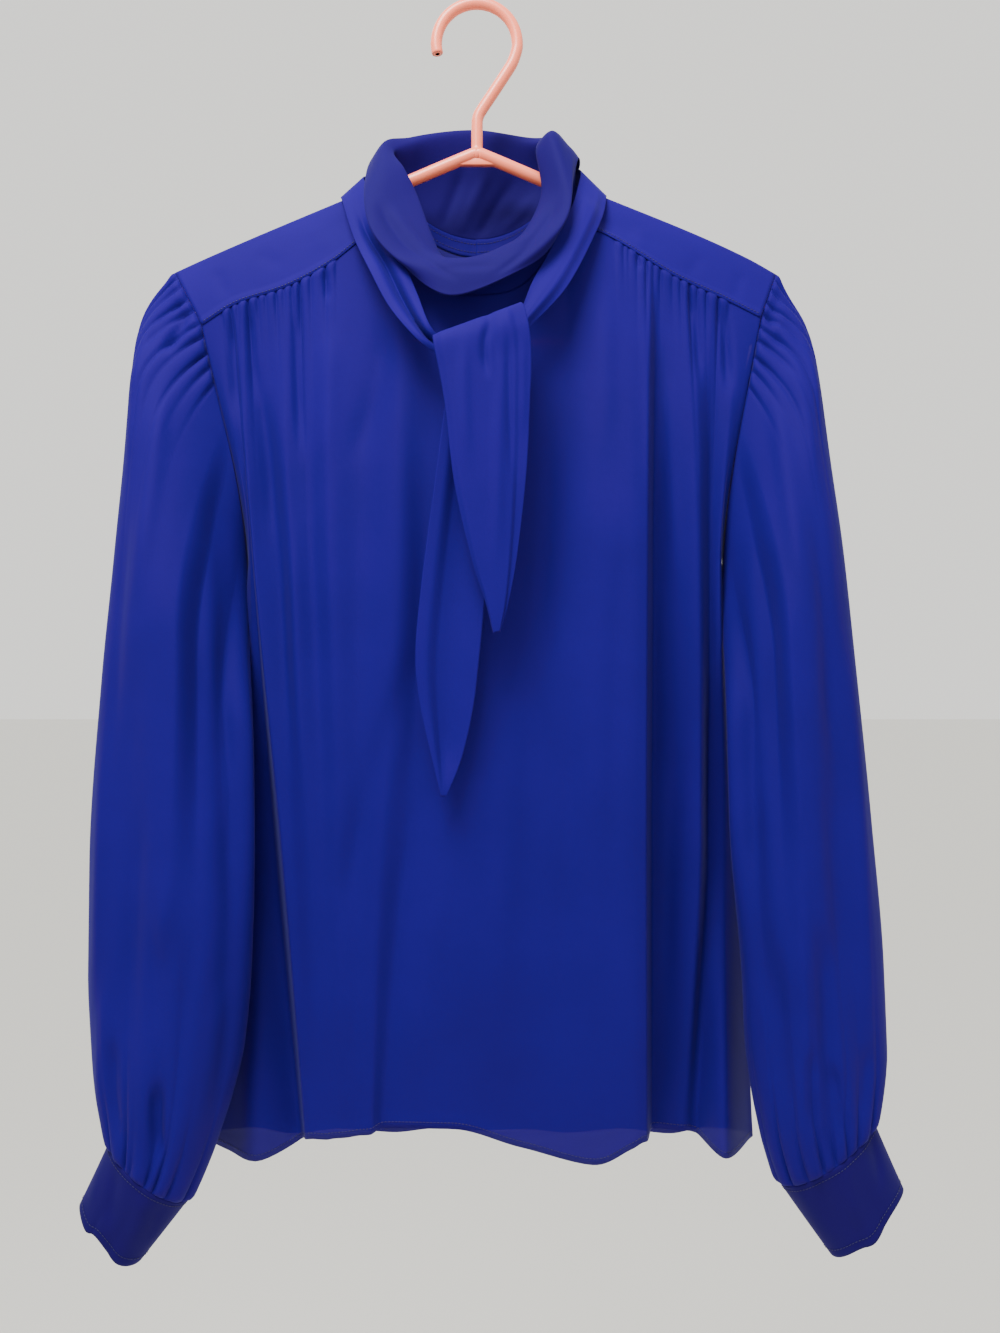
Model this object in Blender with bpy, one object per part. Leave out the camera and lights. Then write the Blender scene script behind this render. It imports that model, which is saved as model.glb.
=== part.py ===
"""Tie neck blouse in thin georgette on a moulded hanger.

Sizes are millimetres and are turned to metres in make_object. +Z is up, the front faces -Y,
+X is to the right as seen from the front. The origin is the inner top of the hanger's hook.
"""
import math
from collections import namedtuple

import bmesh
import bpy
import numpy as np

MM = 0.001
WALL = 1.0
SIDE_ZONE = 16.0
BULGE_ZONE = 28.0
ARMHOLE_BULGE = 6.0
ARMHOLE_WALL = 20.0
ARMHOLE_TOP_Y = 13.0
SEAM_GAP = 0.3
HALF_SEAM = SEAM_GAP / 2

BLUE = (0.022, 0.022, 0.34)
COLLAR_BLUE = (0.026, 0.026, 0.37)
PINK = (0.80, 0.30, 0.22)
BUTTON_BLUE = (0.03, 0.03, 0.42)

# Hanger
ROD_RADIUS = 4.2
NECK_ROD_RADIUS = 3.9
APEX_Z = -97.6
ARM_SLOPE = 0.425
BAR_Z = -229.0
HOOK_RADIUS = 27.5
HOOK_CENTRE = (-0.2, -23.6)
HOOK_ARC = (193, -8)
HOOK_REST = ((24.2, -36), (19.8, -43.4), (10.2, -58), (2.4, -69.8), (0.4, -74.5), (0, -80), (0, APEX_Z))
ARM_XS = (8, 60, 120, 180)
ARM_CORNER = (
    (189, -178.6),
    (196, -184.5),
    (198.6, -192.5),
    (197, -203),
    (192.5, -215),
    (185, -224),
    (174, -228.4),
)
BAR_XS = (158, 58)
WEB_OUTLINE = ((-16, -104.4), (16, -104.4), (11, -106.6), (-11, -106.6))
WEB_THICKNESS = 4.6
STRAP_ROD_RADIUS = 1.9
STRAP_HOOK_X = 143.5
STRAP_HOOK_STEPS = ((0, 0), (0, -14), (1.5, -19), (5.5, -21.5), (10.5, -20))
STUB_X = 167
STUB_LENGTH = 19
ROD_COVER_Y = 5.3
ROD_COVER_Z = 5.7

# Heights of the body's rows
CHEST_Z = -377.0
WAIST_Z = -560.0
LEVELS = (0.0, 0.31, 0.64, 1.0)
ROWS_BELOW_CHEST = [0.31, 0.41, 0.52, 0.64, 0.76, 0.88, 1]

# Neckline: half width, depth to the front and to the back, heights
NECK_HALF_WIDTH = 67.0
NECK_FRONT_Y = -37.0
NECK_BACK_Y = 30.0
NECK_SIDE_Z = -120.6
NECK_FRONT_Z = -206.0
NECK_BACK_Z = -157.0
NECK_CORNER_X = 58.5
SEAM_KNOTS = 11
BAND_HEIGHT = 9.0
BAND_LIFT = 1.1
NECK_STATIONS = np.arange(4.5, 360, 9)
OPENING_DEPTH_ROWS = 3
OPENING_WIDTH = 0.8

# Button on the inner face of the neck band, and the radius and depth of each of its rings
BUTTON_X = -9.5
BUTTON_Z = -151.5
BUTTON_RINGS = ((4.6, 0.0), (5.0, 0.4), (5.0, 1.5), (4.4, 2.1), (3.2, 1.7))
BUTTON_SIDES = 20

Line = namedtuple("Line", "top chest_x chest_y waist_x waist_y hem_x hem_y hem_z")

# One row for each fold of the front, from its left side to its right side. Ridges have the lower y.
FRONT_LINES = (
    Line(-184, -155.0, 0, -178, 12, -188, 12, -771),
    Line(-182, -153.8, -4, -176, 8, -186, 8, -771),
    Line(-177, -152.0, -10, -163, 5, -167, -6, -773),
    Line(-171, -150.5, -13, -151, 1, -146, -21, -774),
    Line(-165, -149.0, -15, -139, 0, -120, -4, -767),
    Line(-158, -146.5, -22, -127, -30, -110, -36, -753),
    Line(-144, -132.0, -17, -117, -32, -104, -38, -752),
    Line(-130, -120.0, -26, -108, -35, -97, -39, -752),
    Line(-116, -109.0, -24, -100, -36, -91, -39.5, -751),
    Line(-98, -94.0, -32, -89, -38.5, -83, -40.5, -750),
    Line(-79, -77.0, -29, -77, -37, -76, -40, -749),
    Line(-52, -50.0, -38, -62, -39, -68, -41, -748),
    Line(-30, -33.0, -31, -44, -33, -60, -35, -746),
    Line(0, -8.0, -38, -12, -38, -18, -39, -745),
    Line(42, 42.0, -30, 36, -33, 30, -37, -758),
    Line(75, 80.0, -40, 78, -41, 76, -42, -767),
    Line(100, 99.0, -42, 100, -43, 100, -44, -756),
    Line(113, 110.0, -40, 109, -42, 109.5, -42, -752),
    Line(121, 119.0, -12, 119, -6, 119, -4, -759),
    Line(141, 146.0, -25, 147, -20, 138, -8, -759),
    Line(160, 157.0, -12, 157, -3, 148, -4, -762),
    Line(173, 162.0, -14, 166, -3, 163, -28, -769),
    Line(186, 165.0, -6, 178, 8, 187, 8, -771),
    Line(190, 166.0, 0, 180, 12, 190, 12, -771),
)

# One row for each soft fold of the back
BACK_LINES = (
    Line(-186, -155.0, 0, -178, 12, -188, 12, -771),
    Line(-183, -153.8, 4, -176, 16, -186, 16, -771),
    Line(-168, -143.0, 19, -155, 27, -160, 28, -772),
    Line(-140, -120.0, 16, -125, 20, -130, 18, -772),
    Line(-100, -90.0, 25, -92, 29, -96, 31, -774),
    Line(-64, -56.0, 20, -56, 21, -58, 20, -772),
    Line(-30, -28.0, 27, -29, 29, -31, 31, -774),
    Line(0, 0.0, 23, 0, 23, 0, 23, -772),
    Line(34, 30.0, 27, 32, 29, 34, 30, -774),
    Line(66, 60.0, 19, 60, 20, 62, 19, -772),
    Line(104, 96.0, 25, 97, 29, 101, 31, -774),
    Line(144, 126.0, 16, 130, 20, 134, 18, -772),
    Line(172, 152.0, 19, 158, 27, 163, 28, -772),
    Line(187, 165.0, 4, 178, 16, 188, 16, -771),
    Line(190, 166.0, 0, 180, 12, 190, 12, -771),
)

FRONT_ENDS = (FRONT_LINES[0].top, FRONT_LINES[-1].top)
BACK_ENDS = (BACK_LINES[0].top, BACK_LINES[-1].top)

Point = namedtuple("Point", "x y z")

# Seam of the front to the yokes, from the armhole to the neck
YOKE_SEAM_LEFT = (
    Point(-184, -13, -218),
    Point(-161, -13, -204),
    Point(-128, -13.5, -193),
    Point(-94, -15, -175),
    Point(-80, -16, -164.5),
    Point(-58.5, -18, -149.6),
)
YOKE_SEAM_RIGHT = (
    Point(58.5, -18, -149.6),
    Point(84, -16, -158),
    Point(97, -15, -164.5),
    Point(131.5, -13.5, -185),
    Point(166, -13, -201),
    Point(190, -13, -213),
)
BACK_SEAM_LEFT = (
    Point(-186, 13, -215),
    Point(-128, 13.5, -187),
    Point(-80, 14, -146),
    Point(-58.5, 14.6, -129.3),
)
BACK_SEAM_RIGHT = (
    Point(58.5, 14.6, -129.3),
    Point(80, 14, -145),
    Point(128, 13.5, -186),
    Point(190, 13, -212),
)
SHOULDER_LEFT = (Point(-67, 0, -120.4), Point(-186, 0, -170.9), Point(-204.5, 0, -179.4))
SHOULDER_RIGHT = (Point(67, 0, -120.4), Point(184, 0, -170.1), Point(202.5, 0, -180.5))

# Where a yoke leaves the hanger's rod: the share of the way over, its depth and drop from the top
Fall = namedtuple("Fall", "share y drop")
YOKE_FALL_LOW = Fall(0.27, -9.5, 18.0)
YOKE_FALL_HIGH = Fall(0.38, -6.9, 8.5)
YOKE_FALL_BACK = Fall(0.6, 6.6, 5.5)
YOKE_NECK_SHARE = 0.12

# Small tucks along the yoke seams, by the x of each valley
TUCKS_LEFT = (-160, -151, -144, -136, -127.4, -119.5, -109.5, -99.6, -92.3)
TUCKS_RIGHT = (98.6, 106.3, 112.2, 120.5, 129.5, 136, 143.4, 152, 160.5)
TUCK_DEPTH = 1.6
TUCK_LENGTH = 42.0

# Sections of the sleeves at heights: outer edge, inner edge, middle and half of the depth
Ring = namedtuple("Ring", "z outer inner y half")
SLEEVE_LEFT = (
    Ring(-179, -204.5, -190, 0, 12),
    Ring(-186, -215, -188, -1, 16),
    Ring(-196, -222.5, -186, -2, 20),
    Ring(-212, -227, -183, -3, 24),
    Ring(-235, -229.6, -177, -6, 28),
    Ring(-304, -233, -165, -15, 31),
    Ring(-380, -238, -155, -23, 32),
    Ring(-456, -244, -149.5, -28, 32),
    Ring(-573, -250, -144.5, -33, 33),
    Ring(-640, -250, -146, -35, 34),
    Ring(-690, -247, -150, -37, 35),
    Ring(-722, -243, -157, -40, 33),
    Ring(-747, -238, -165, -43, 30),
    Ring(-790, -228, -181, -45, 27),
)
SLEEVE_RIGHT = (
    Ring(-180, 202.5, 192, 0, 12),
    Ring(-188, 209, 190, -1, 16),
    Ring(-197, 213.5, 188, -2, 20),
    Ring(-219, 222.6, 184, -4, 25),
    Ring(-256, 229.2, 180, -8, 29),
    Ring(-313, 234.6, 170.5, -16, 31),
    Ring(-373, 240.9, 168, -23, 32),
    Ring(-434, 246, 167.5, -28, 32),
    Ring(-548, 256, 169, -33, 33),
    Ring(-640, 263, 172.5, -35, 34),
    Ring(-690, 264, 175, -37, 35),
    Ring(-718, 262, 178, -40, 33),
    Ring(-745, 257, 183, -43, 30),
    Ring(-785, 248, 195, -45, 27),
)

# Long folds of a sleeve: angle in degrees at the top and bottom, heights, depth and width
Fold = namedtuple("Fold", "angle_top angle_end z_top z_end depth width")
SLEEVE_FOLDS_LEFT = (
    Fold(118, 122, -236, -470, 11, 11),
    Fold(62, 70, -420, -790, 5, 16),
    Fold(150, 140, -470, -780, 5, 14),
    Fold(92, 98, -600, -800, 5, 9),
    Fold(230, 236, -300, -740, 6, 16),
    Fold(300, 296, -360, -760, 6, 16),
)
SLEEVE_FOLDS_RIGHT = (
    Fold(113, 120, -226, -480, 11, 11),
    Fold(60, 68, -400, -785, 5, 16),
    Fold(148, 140, -460, -780, 5, 14),
    Fold(90, 96, -600, -795, 5, 9),
    Fold(232, 238, -300, -740, 6, 16),
    Fold(302, 298, -360, -760, 6, 16),
)
SLEEVE_COLUMNS = 34
UNDERARM_TURN = 0.4
UNDERARM_CLEAR = 6.0
UNDERARM_CLEAR_Z = -412.0
UNDERARM_CLEAR_WIDTH = 24.0
UNDERARM_SEAM = 1.4
UNDERARM_DROP = 1.5
SLEEVE_SEAM = 1.3
CAP_TUCKS = 26
CAP_TUCK_DEPTH = 1.5
CAP_TUCK_START = 0.015
CAP_TUCK_LENGTH = 0.09
CUFF_TUCKS = 12
CUFF_TUCK_DEPTH = 2.2
CUFF_TUCK_START = 0.86
CUFF_TUCK_LENGTH = 0.08
CUFF_CLOSE = 0.07
TUBE_START_CAP = 0.09
TUBE_START_UNDER = 0.22

# Cuffs: the outer and inner edge of the seam and of the open end, the depth's middle and halves
Cuff = namedtuple("Cuff", "seam_outer seam_inner end_outer end_inner y seam_half end_half")
CUFF_LEFT = Cuff((-232, -747), (-183, -786), (-252, -791), (-212.5, -824.5), -45, 25, 18)
CUFF_RIGHT = Cuff((253, -735), (194.5, -776), (272.5, -781), (226.5, -822), -45, 25, 18)
CUFF_WAVE = 2.4

# Collar, by stations round the neck from the centre back to the left. Angle in degrees, then the
# inside, the crest of the roll, the face that leads out, the rim and the free lower edge
Station = namedtuple("Station", "angle inside crest face rim lower")
COLLAR = (
    Station(0, (0, 28, -110), (0, 21, -75), (0, 25, -71.5), (0, 31, -80), (0, 36, -110)),
    Station(50, (-45, 19, -104), (-42, 13, -84), (-47, 16, -80), (-54, 22, -90), (-58, 25, -108)),
    Station(86, (-61, 2, -104), (-57, 1, -98), (-64, 1, -94), (-73, 2, -104), (-75, 1, -114)),
    Station(101, (-57, -6, -111), (-50, -9, -112), (-61, -14, -116), (-73, -21, -133), (-69, -22, -139)),
    Station(116, (-53, -9, -121), (-41, -15, -133), (-55, -26, -144), (-68, -37, -159), (-62, -33, -164)),
    Station(138, (-40, -20, -155), (-29, -32, -168), (-40, -41, -175), (-50, -49, -185), (-45, -46, -191)),
    Station(160, (-22, -36, -185), (-20, -41, -184), (-24, -48, -186), (-28, -55, -193.5), (-25, -58, -211)),
    Station(180, (-1, -40, -189), (-4, -45, -186), (-5, -51, -188), (-6, -57, -196), (-9, -60, -214)),
    Station(202, (22, -35, -182), (16, -40, -177), (18, -48, -182), (20, -56, -193), (20, -58, -202)),
    Station(222, (39, -25, -159), (31, -33, -165), (38, -42, -167), (45, -50, -175), (44, -48, -184)),
    Station(242, (52, -11, -125), (43.5, -19, -134), (53, -30, -139), (60, -39, -150), (57, -37, -157)),
    Station(262, (54, -1, -100), (40, -9, -100), (49, -16, -94), (61, -16, -104), (67, -14, -110)),
    Station(285, (55, 8, -98), (46, 3, -90), (53, 2, -85.5), (62, 6, -93), (69.5, 9, -105)),
    Station(320, (40, 24, -106), (34, 17, -83), (39, 19, -79), (45, 26, -87), (49, 29, -108)),
)

# Tie bands: their lower or outer edge, and their upper or inner edge
Pair = namedtuple("Pair", "outer inner")
TIE_LEFT = (
    Pair((-1.5, 45, -144), (-1.5, 42, -116)),
    Pair((-38, 43, -142), (-36, 39, -113)),
    Pair((-72, 29, -136), (-67, 27, -109)),
    Pair((-91, 4, -127.5), (-80, 2, -115)),
    Pair((-89, -12, -138), (-77, -8, -123)),
    Pair((-80.4, -26, -165), (-66, -23, -153)),
    Pair((-68.2, -44, -192.5), (-49, -40, -182)),
    Pair((-54.4, -53, -219.4), (-37.5, -50, -209)),
    Pair((-37, -60, -241), (-29.5, -59, -231)),
    Pair((-23.0, -56.8, -251), (-23.0, -56.8, -240)),
)
TIE_RIGHT = (
    Pair((1.5, 45, -144), (1.5, 42, -116)),
    Pair((38, 42, -142), (35, 38, -113)),
    Pair((68, 29, -137), (62, 28, -109)),
    Pair((87, 5, -127), (73.5, 3, -114)),
    Pair((88, -7, -131), (74, -5, -117)),
    Pair((85, -15, -143), (70, -16, -131)),
    Pair((80, -24, -158), (62, -26, -146)),
    Pair((66, -39, -190), (46, -40, -182)),
    Pair((53, -49, -212), (36, -50, -203)),
    Pair((29.4, -57.2, -238), (28.9, -56.8, -223)),
)
TIE_SLIT = 6.0
TIE_RIDGE = 3.0

# Knot: its middle and slope, and its hoops from the top down
Hoop = namedtuple("Hoop", "z wide deep")
KNOT_X = 3.0
KNOT_Y = -56.0
KNOT_SLOPE = 0.34
KNOT_SIDES = 20
KNOT_HOOPS = (Hoop(-229, 23, 2.6), Hoop(-238, 25, 3.4), Hoop(-247, 23, 2.8))

# Tails: left edge, right edge and their depth
TAIL_FRONT = (
    Pair((-17, -62.4, -248), (19, -62.2, -233)),
    Pair((-25, -68, -241.5), (28.5, -67.5, -221.5)),
    Pair((-25.5, -72.5, -247), (33, -72.5, -234)),
    Pair((-22, -73, -264), (35, -71, -254)),
    Pair((-18, -73, -288), (34, -70, -286)),
    Pair((-12.5, -72, -334), (32, -69, -326)),
    Pair((-2, -71, -380), (27, -68, -372)),
    Pair((7, -70, -408), (21.5, -68, -404)),
    Pair((11.5, -69, -426), (16, -68, -425)),
)
TAIL_REAR = (
    Pair((-15, -58.2, -253.8), (12, -58.4, -244.5)),
    Pair((-20, -58, -290), (12, -57, -290)),
    Pair((-26, -58, -335), (11, -56, -335)),
    Pair((-33, -58, -388), (7, -56, -392)),
    Pair((-37.5, -58, -436), (3, -56, -436)),
    Pair((-35.5, -57, -466), (-1.5, -55, -474)),
    Pair((-29, -56, -498), (-9, -54, -506)),
    Pair((-21.5, -55, -529), (-18.5, -54, -529)),
)


def clear_scene():
    for item in list(bpy.data.objects):
        bpy.data.objects.remove(item, do_unlink=True)


def make_material(name, colour, roughness, metallic=0.0):
    material = bpy.data.materials.new(name)
    material.use_nodes = True
    shader = material.node_tree.nodes["Principled BSDF"]
    shader.inputs["Base Color"].default_value = (*colour, 1.0)
    shader.inputs["Roughness"].default_value = roughness
    shader.inputs["Metallic"].default_value = metallic
    material.diffuse_color = (*colour, 1.0)
    return material


def ends_and_slopes(keys, values):
    """Slopes that keep each ridge and valley at its own point."""
    step = np.diff(keys)[:, None]
    rise = np.diff(values, axis=0) / step
    slope = np.zeros_like(values)
    before = rise[:-1]
    after = rise[1:]
    heavy = 2 * step[1:] + step[:-1]
    light = step[1:] + 2 * step[:-1]
    same = before * after > 0
    safe_before = np.where(same, before, 1.0)
    safe_after = np.where(same, after, 1.0)
    mean = (heavy + light) / (heavy / safe_before + light / safe_after)
    slope[1:-1] = np.where(same, mean, 0.0)
    slope[0] = rise[0]
    slope[-1] = rise[-1]
    return slope


def smooth(keys, values, at):
    """Values at the given keys, on a smooth curve without overshoot."""
    keys = np.asarray(keys, float)
    values = np.asarray(values, float)
    at = np.atleast_1d(np.asarray(at, float))
    flat = values.reshape(len(keys), -1)
    slope = ends_and_slopes(keys, flat)
    index = np.clip(np.searchsorted(keys, at, side="right") - 1, 0, len(keys) - 2)
    width = (keys[index + 1] - keys[index])[:, None]
    t = (at - keys[index])[:, None] / width
    start = flat[index] * (2 * t**3 - 3 * t**2 + 1) + slope[index] * width * (t**3 - 2 * t**2 + t)
    end = flat[index + 1] * (3 * t**2 - 2 * t**3) + slope[index + 1] * width * (t**3 - t**2)
    return (start + end).reshape((len(at),) + values.shape[1:])


def round_curve(keys, values, at, period=None):
    """Values at the given keys, on a rounder curve that may overshoot a little."""
    keys = np.asarray(keys, float)
    values = np.asarray(values, float)
    at = np.atleast_1d(np.asarray(at, float))
    if period:
        at = np.mod(at, period)
        keys = np.concatenate([keys[-2:] - period, keys, keys[:3] + period])
        values = np.concatenate([values[-2:], values, values[:3]])
    slope = np.gradient(values, keys, axis=0)
    index = np.clip(np.searchsorted(keys, at, side="right") - 1, 0, len(keys) - 2)
    shape = (len(at),) + (1,) * (values.ndim - 1)
    width = (keys[index + 1] - keys[index]).reshape(shape)
    t = (at - keys[index]).reshape(shape) / width
    start = values[index] * (2 * t**3 - 3 * t**2 + 1) + slope[index] * width * (t**3 - 2 * t**2 + t)
    end = values[index + 1] * (3 * t**2 - 2 * t**3) + slope[index + 1] * width * (t**3 - t**2)
    return start + end


def bump(values, width):
    return np.exp(-((values / width) ** 2))


def ease(value):
    t = np.clip(value, 0.0, 1.0)
    return t * t * (3 - 2 * t)


def grid_normals(grid, closed):
    if closed:
        across = np.roll(grid, -1, axis=1) - np.roll(grid, 1, axis=1)
    else:
        across = np.gradient(grid, axis=1)
    along = np.gradient(grid, axis=0)
    normal = np.cross(across, along)
    length = np.linalg.norm(normal, axis=2, keepdims=True)
    return normal / np.maximum(length, 1e-9)


def level_normals(edge, normals):
    """Level normals of a row of points, square to the row, so that two panels meet in one plane."""
    along = np.gradient(edge, axis=0)
    level = np.stack([-along[:, 1], along[:, 0], np.zeros(len(edge))], axis=-1)
    level /= np.linalg.norm(level, axis=1, keepdims=True)
    same = np.sum(level * normals, axis=1, keepdims=True)
    return level * np.where(same < 0, -1, 1)


def body_normals(grid):
    """Normals of a body panel, with those at its top and its side seams shared with its neighbours."""
    normals = grid_normals(grid, False)
    normals[0] = level_normals(grid[0], normals[0])
    below = grid[:, 0, 2] <= CHEST_Z + 1
    for col in (0, -1):
        side = normals[below, col].copy()
        side[:, 1] = 0
        normals[below, col] = side / np.linalg.norm(side, axis=1, keepdims=True)
    return normals


def pull_in(grid, top=0.0, bottom=0.0, left=0.0, right=0.0):
    """The grid with its borders moved inward by the given lengths."""
    out = grid.copy()

    def shifted(edge, inner, length):
        way = inner - edge
        return edge + way / np.linalg.norm(way, axis=-1, keepdims=True) * length

    out[0] = shifted(grid[0], grid[1], top)
    out[-1] = shifted(grid[-1], grid[-2], bottom)
    out[:, 0] = shifted(out[:, 0], out[:, 1], left)
    out[:, -1] = shifted(out[:, -1], out[:, -2], right)
    return out


def make_object(name, points, faces, material):
    mesh = bpy.data.meshes.new(name)
    mesh.from_pydata([tuple(p) for p in np.asarray(points) * MM], [], faces)
    work = bmesh.new()
    work.from_mesh(mesh)
    bmesh.ops.recalc_face_normals(work, faces=work.faces)
    work.to_mesh(mesh)
    work.free()
    mesh.validate()
    item = bpy.data.objects.new(name, mesh)
    bpy.context.collection.objects.link(item)
    mesh.materials.append(material)
    for polygon in mesh.polygons:
        polygon.use_smooth = True
    return item


def wall(name, grid, material, closed=False, left_out=(), thickness=WALL, normals=None):
    """A closed shell of even thickness about a grid of points."""
    rows, cols = grid.shape[:2]
    if normals is None:
        normals = grid_normals(grid, closed)
    half = normals * thickness / 2
    points = np.concatenate([(grid + half).reshape(-1, 3), (grid - half).reshape(-1, 3)])
    total = rows * cols
    quads = []
    for row in range(rows - 1):
        for col in range(cols if closed else cols - 1):
            if (row, col) in left_out:
                continue
            right = (col + 1) % cols
            top = row * cols
            below = top + cols
            quads.append((top + col, top + right, below + right, below + col))
    middle = grid.reshape(-1, 3)
    faces = []
    for a, b, c, d in quads:
        if np.linalg.norm(middle[a] - middle[c]) < np.linalg.norm(middle[b] - middle[d]):
            halves = ((a, b, c), (a, c, d))
        else:
            halves = ((a, b, d), (b, c, d))
        for half_quad in halves:
            faces.append(half_quad)
            faces.append(tuple(total + v for v in reversed(half_quad)))
    sides = {}
    for quad in quads:
        for a, b in zip(quad, quad[1:] + quad[:1]):
            if (b, a) in sides:
                del sides[(b, a)]
            else:
                sides[(a, b)] = True
    faces += [(b, a, total + a, total + b) for a, b in sides]
    used = sorted({v for face in faces for v in face})
    new = {v: i for i, v in enumerate(used)}
    faces = [tuple(new[v] for v in face) for face in faces]
    return make_object(name, points[used], faces, material)


def neckline(angles):
    """Points of the neck seam, by the angle from the centre back to the left side."""
    turn = np.radians(np.atleast_1d(angles))
    side = np.abs(np.sin(turn))
    behind = np.cos(turn) > 0
    x = -NECK_HALF_WIDTH * np.sin(turn)
    y = np.where(behind, NECK_BACK_Y, -NECK_FRONT_Y) * np.cos(turn)
    back_z = NECK_BACK_Z + (NECK_SIDE_Z - NECK_BACK_Z) * side**2
    front_z = NECK_FRONT_Z + (NECK_SIDE_Z - NECK_FRONT_Z) * side**3
    return np.stack([x, y, np.where(behind, back_z, front_z)], axis=-1)


def top_edge(xs, seam_left, seam_right, at_front):
    """Top edge of the front or back at each x: yoke seam, neckline, yoke seam."""
    out = []
    for x in xs:
        if x <= -NECK_CORNER_X + 0.001:
            seam = seam_left
        elif x >= NECK_CORNER_X - 0.001:
            seam = seam_right
        else:
            turn = math.degrees(math.asin(-x / NECK_HALF_WIDTH))
            out.append(neckline(180 - turn if at_front else turn)[0])
            continue
        knots = np.linspace(seam[0].x, seam[-1].x, SEAM_KNOTS)
        at_knots = smooth([p.x for p in seam], [(p.y, p.z) for p in seam], knots)
        y, z = (np.interp(x, knots, at_knots[:, k]) for k in range(2))
        out.append(np.array([x, y, z]))
    return np.array(out)


def tuck_wave(xs, tucks):
    """+1 in each tuck's valley, -1 on the ridge between two tucks, 0 past the last ones."""
    tucks = np.asarray(tucks, float)
    between = (tucks[1:] + tucks[:-1]) / 2
    keys = np.concatenate([[tucks[0] - 8], tucks, between, [tucks[-1] + 8]])
    values = np.concatenate([[0], np.ones(len(tucks)), -np.ones(len(between)), [0]])
    order = np.argsort(keys)
    wave = smooth(keys[order], values[order], np.clip(xs, keys.min(), keys.max()))
    return wave.reshape(np.shape(xs))


def panel(lines, top, xs, rows):
    """A body panel: through its folds across, and through four heights down."""
    keys = [line.top for line in lines]
    table = [[l.chest_x, l.chest_y, l.waist_x, l.waist_y, l.hem_x, l.hem_y, l.hem_z] for l in lines]
    at = smooth(keys, table, xs)
    chest = np.stack([at[:, 0], at[:, 1], np.full(len(xs), CHEST_Z)], axis=-1)
    waist = np.stack([at[:, 2], at[:, 3], np.full(len(xs), WAIST_Z)], axis=-1)
    hem = at[:, 4:7]
    rows = np.asarray(rows, float)
    grid = smooth(LEVELS, np.stack([top, chest, waist, hem]), rows)
    from_side = np.minimum(xs - keys[0], keys[-1] - xs)
    near_side = np.clip(1 - from_side / SIDE_ZONE, 0, 1)
    shared = smooth(LEVELS[1:], np.stack([chest, waist, hem]), np.maximum(rows, LEVELS[1]))
    weight = np.where(rows >= LEVELS[1], 1.0, 0.0)[:, None, None] * near_side[None, :, None]
    grid = grid * (1 - weight) + shared * weight
    down = np.clip(rows / LEVELS[1], 0, 1)
    bulge = ARMHOLE_BULGE * np.sin(np.pi * down**1.6)
    facing = np.sign(top[0, 1])
    side_y = facing * ARMHOLE_TOP_Y * (1 - down)
    near_wall = np.clip(1 - np.abs(grid[:, :, 1] - side_y[:, None]) / ARMHOLE_WALL, 0, 1)
    near_wall = near_wall * np.clip(2 - 2 * from_side / BULGE_ZONE, 0, 1)[None, :]
    grid[:, :, 1] += facing * bulge[:, None] * near_wall
    return grid


def front_grid(xs, rows):
    xs = np.asarray(xs, float)
    top = top_edge(xs, YOKE_SEAM_LEFT, YOKE_SEAM_RIGHT, True)
    grid = panel(FRONT_LINES, top, xs, rows)
    wave = np.where(xs < 0, tuck_wave(xs, TUCKS_LEFT), tuck_wave(xs, TUCKS_RIGHT))
    drop = top[:, 2][None, :] - grid[:, :, 2]
    size = np.clip(drop / 5.0, 0, 1) * np.exp(-drop / TUCK_LENGTH)
    grid[:, :, 1] += TUCK_DEPTH * wave[None, :] * size
    return grid


def back_grid(xs, rows):
    xs = np.asarray(xs, float)
    top = top_edge(xs, BACK_SEAM_LEFT, BACK_SEAM_RIGHT, False)
    return panel(BACK_LINES, top, xs, rows)


def front_columns():
    left = list(TUCKS_LEFT)
    right = list(TUCKS_RIGHT)
    left += [(a + b) / 2 for a, b in zip(left, left[1:])]
    right += [(a + b) / 2 for a, b in zip(right, right[1:])]
    middle = [-84, -76, -67, -58.5, -50, -39, -26, -12, 2, 16, 30, 42, 51, 58.5, 67, 76, 84, 91]
    sides = [-184, -182, -178.5, -174.5, -171, -168, -164.5, 166, 170, 173, 177.5, 182, 186, 190]
    return sorted(left + right + middle + sides)


def add_front(material):
    rows = [0, 0.015, 0.05, 0.1, 0.165, 0.23, 0.28] + ROWS_BELOW_CHEST
    grid = front_grid(front_columns(), rows)
    normals = body_normals(grid)
    grid = pull_in(grid, top=HALF_SEAM, left=HALF_SEAM, right=HALF_SEAM)
    return wall("front", grid, material, normals=normals)


def back_columns():
    half = OPENING_WIDTH / 2
    left = list(np.linspace(BACK_ENDS[0], -NECK_CORNER_X, SEAM_KNOTS))
    right = list(np.linspace(NECK_CORNER_X, BACK_ENDS[1], SEAM_KNOTS))
    return sorted(left + right + [-183, -179, -46, -30, -15, -half, half, 15, 34, 47, 181, 187])


def add_back(material):
    rows = [0, 0.05, 0.13, 0.22, 0.28] + ROWS_BELOW_CHEST
    columns = back_columns()
    grid = back_grid(columns, rows)
    normals = body_normals(grid)
    grid = pull_in(grid, top=HALF_SEAM, left=HALF_SEAM, right=HALF_SEAM)
    middle = columns.index(-OPENING_WIDTH / 2)
    opening = {(row, middle) for row in range(OPENING_DEPTH_ROWS)}
    return wall("back", grid, material, left_out=opening, normals=normals)


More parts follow.
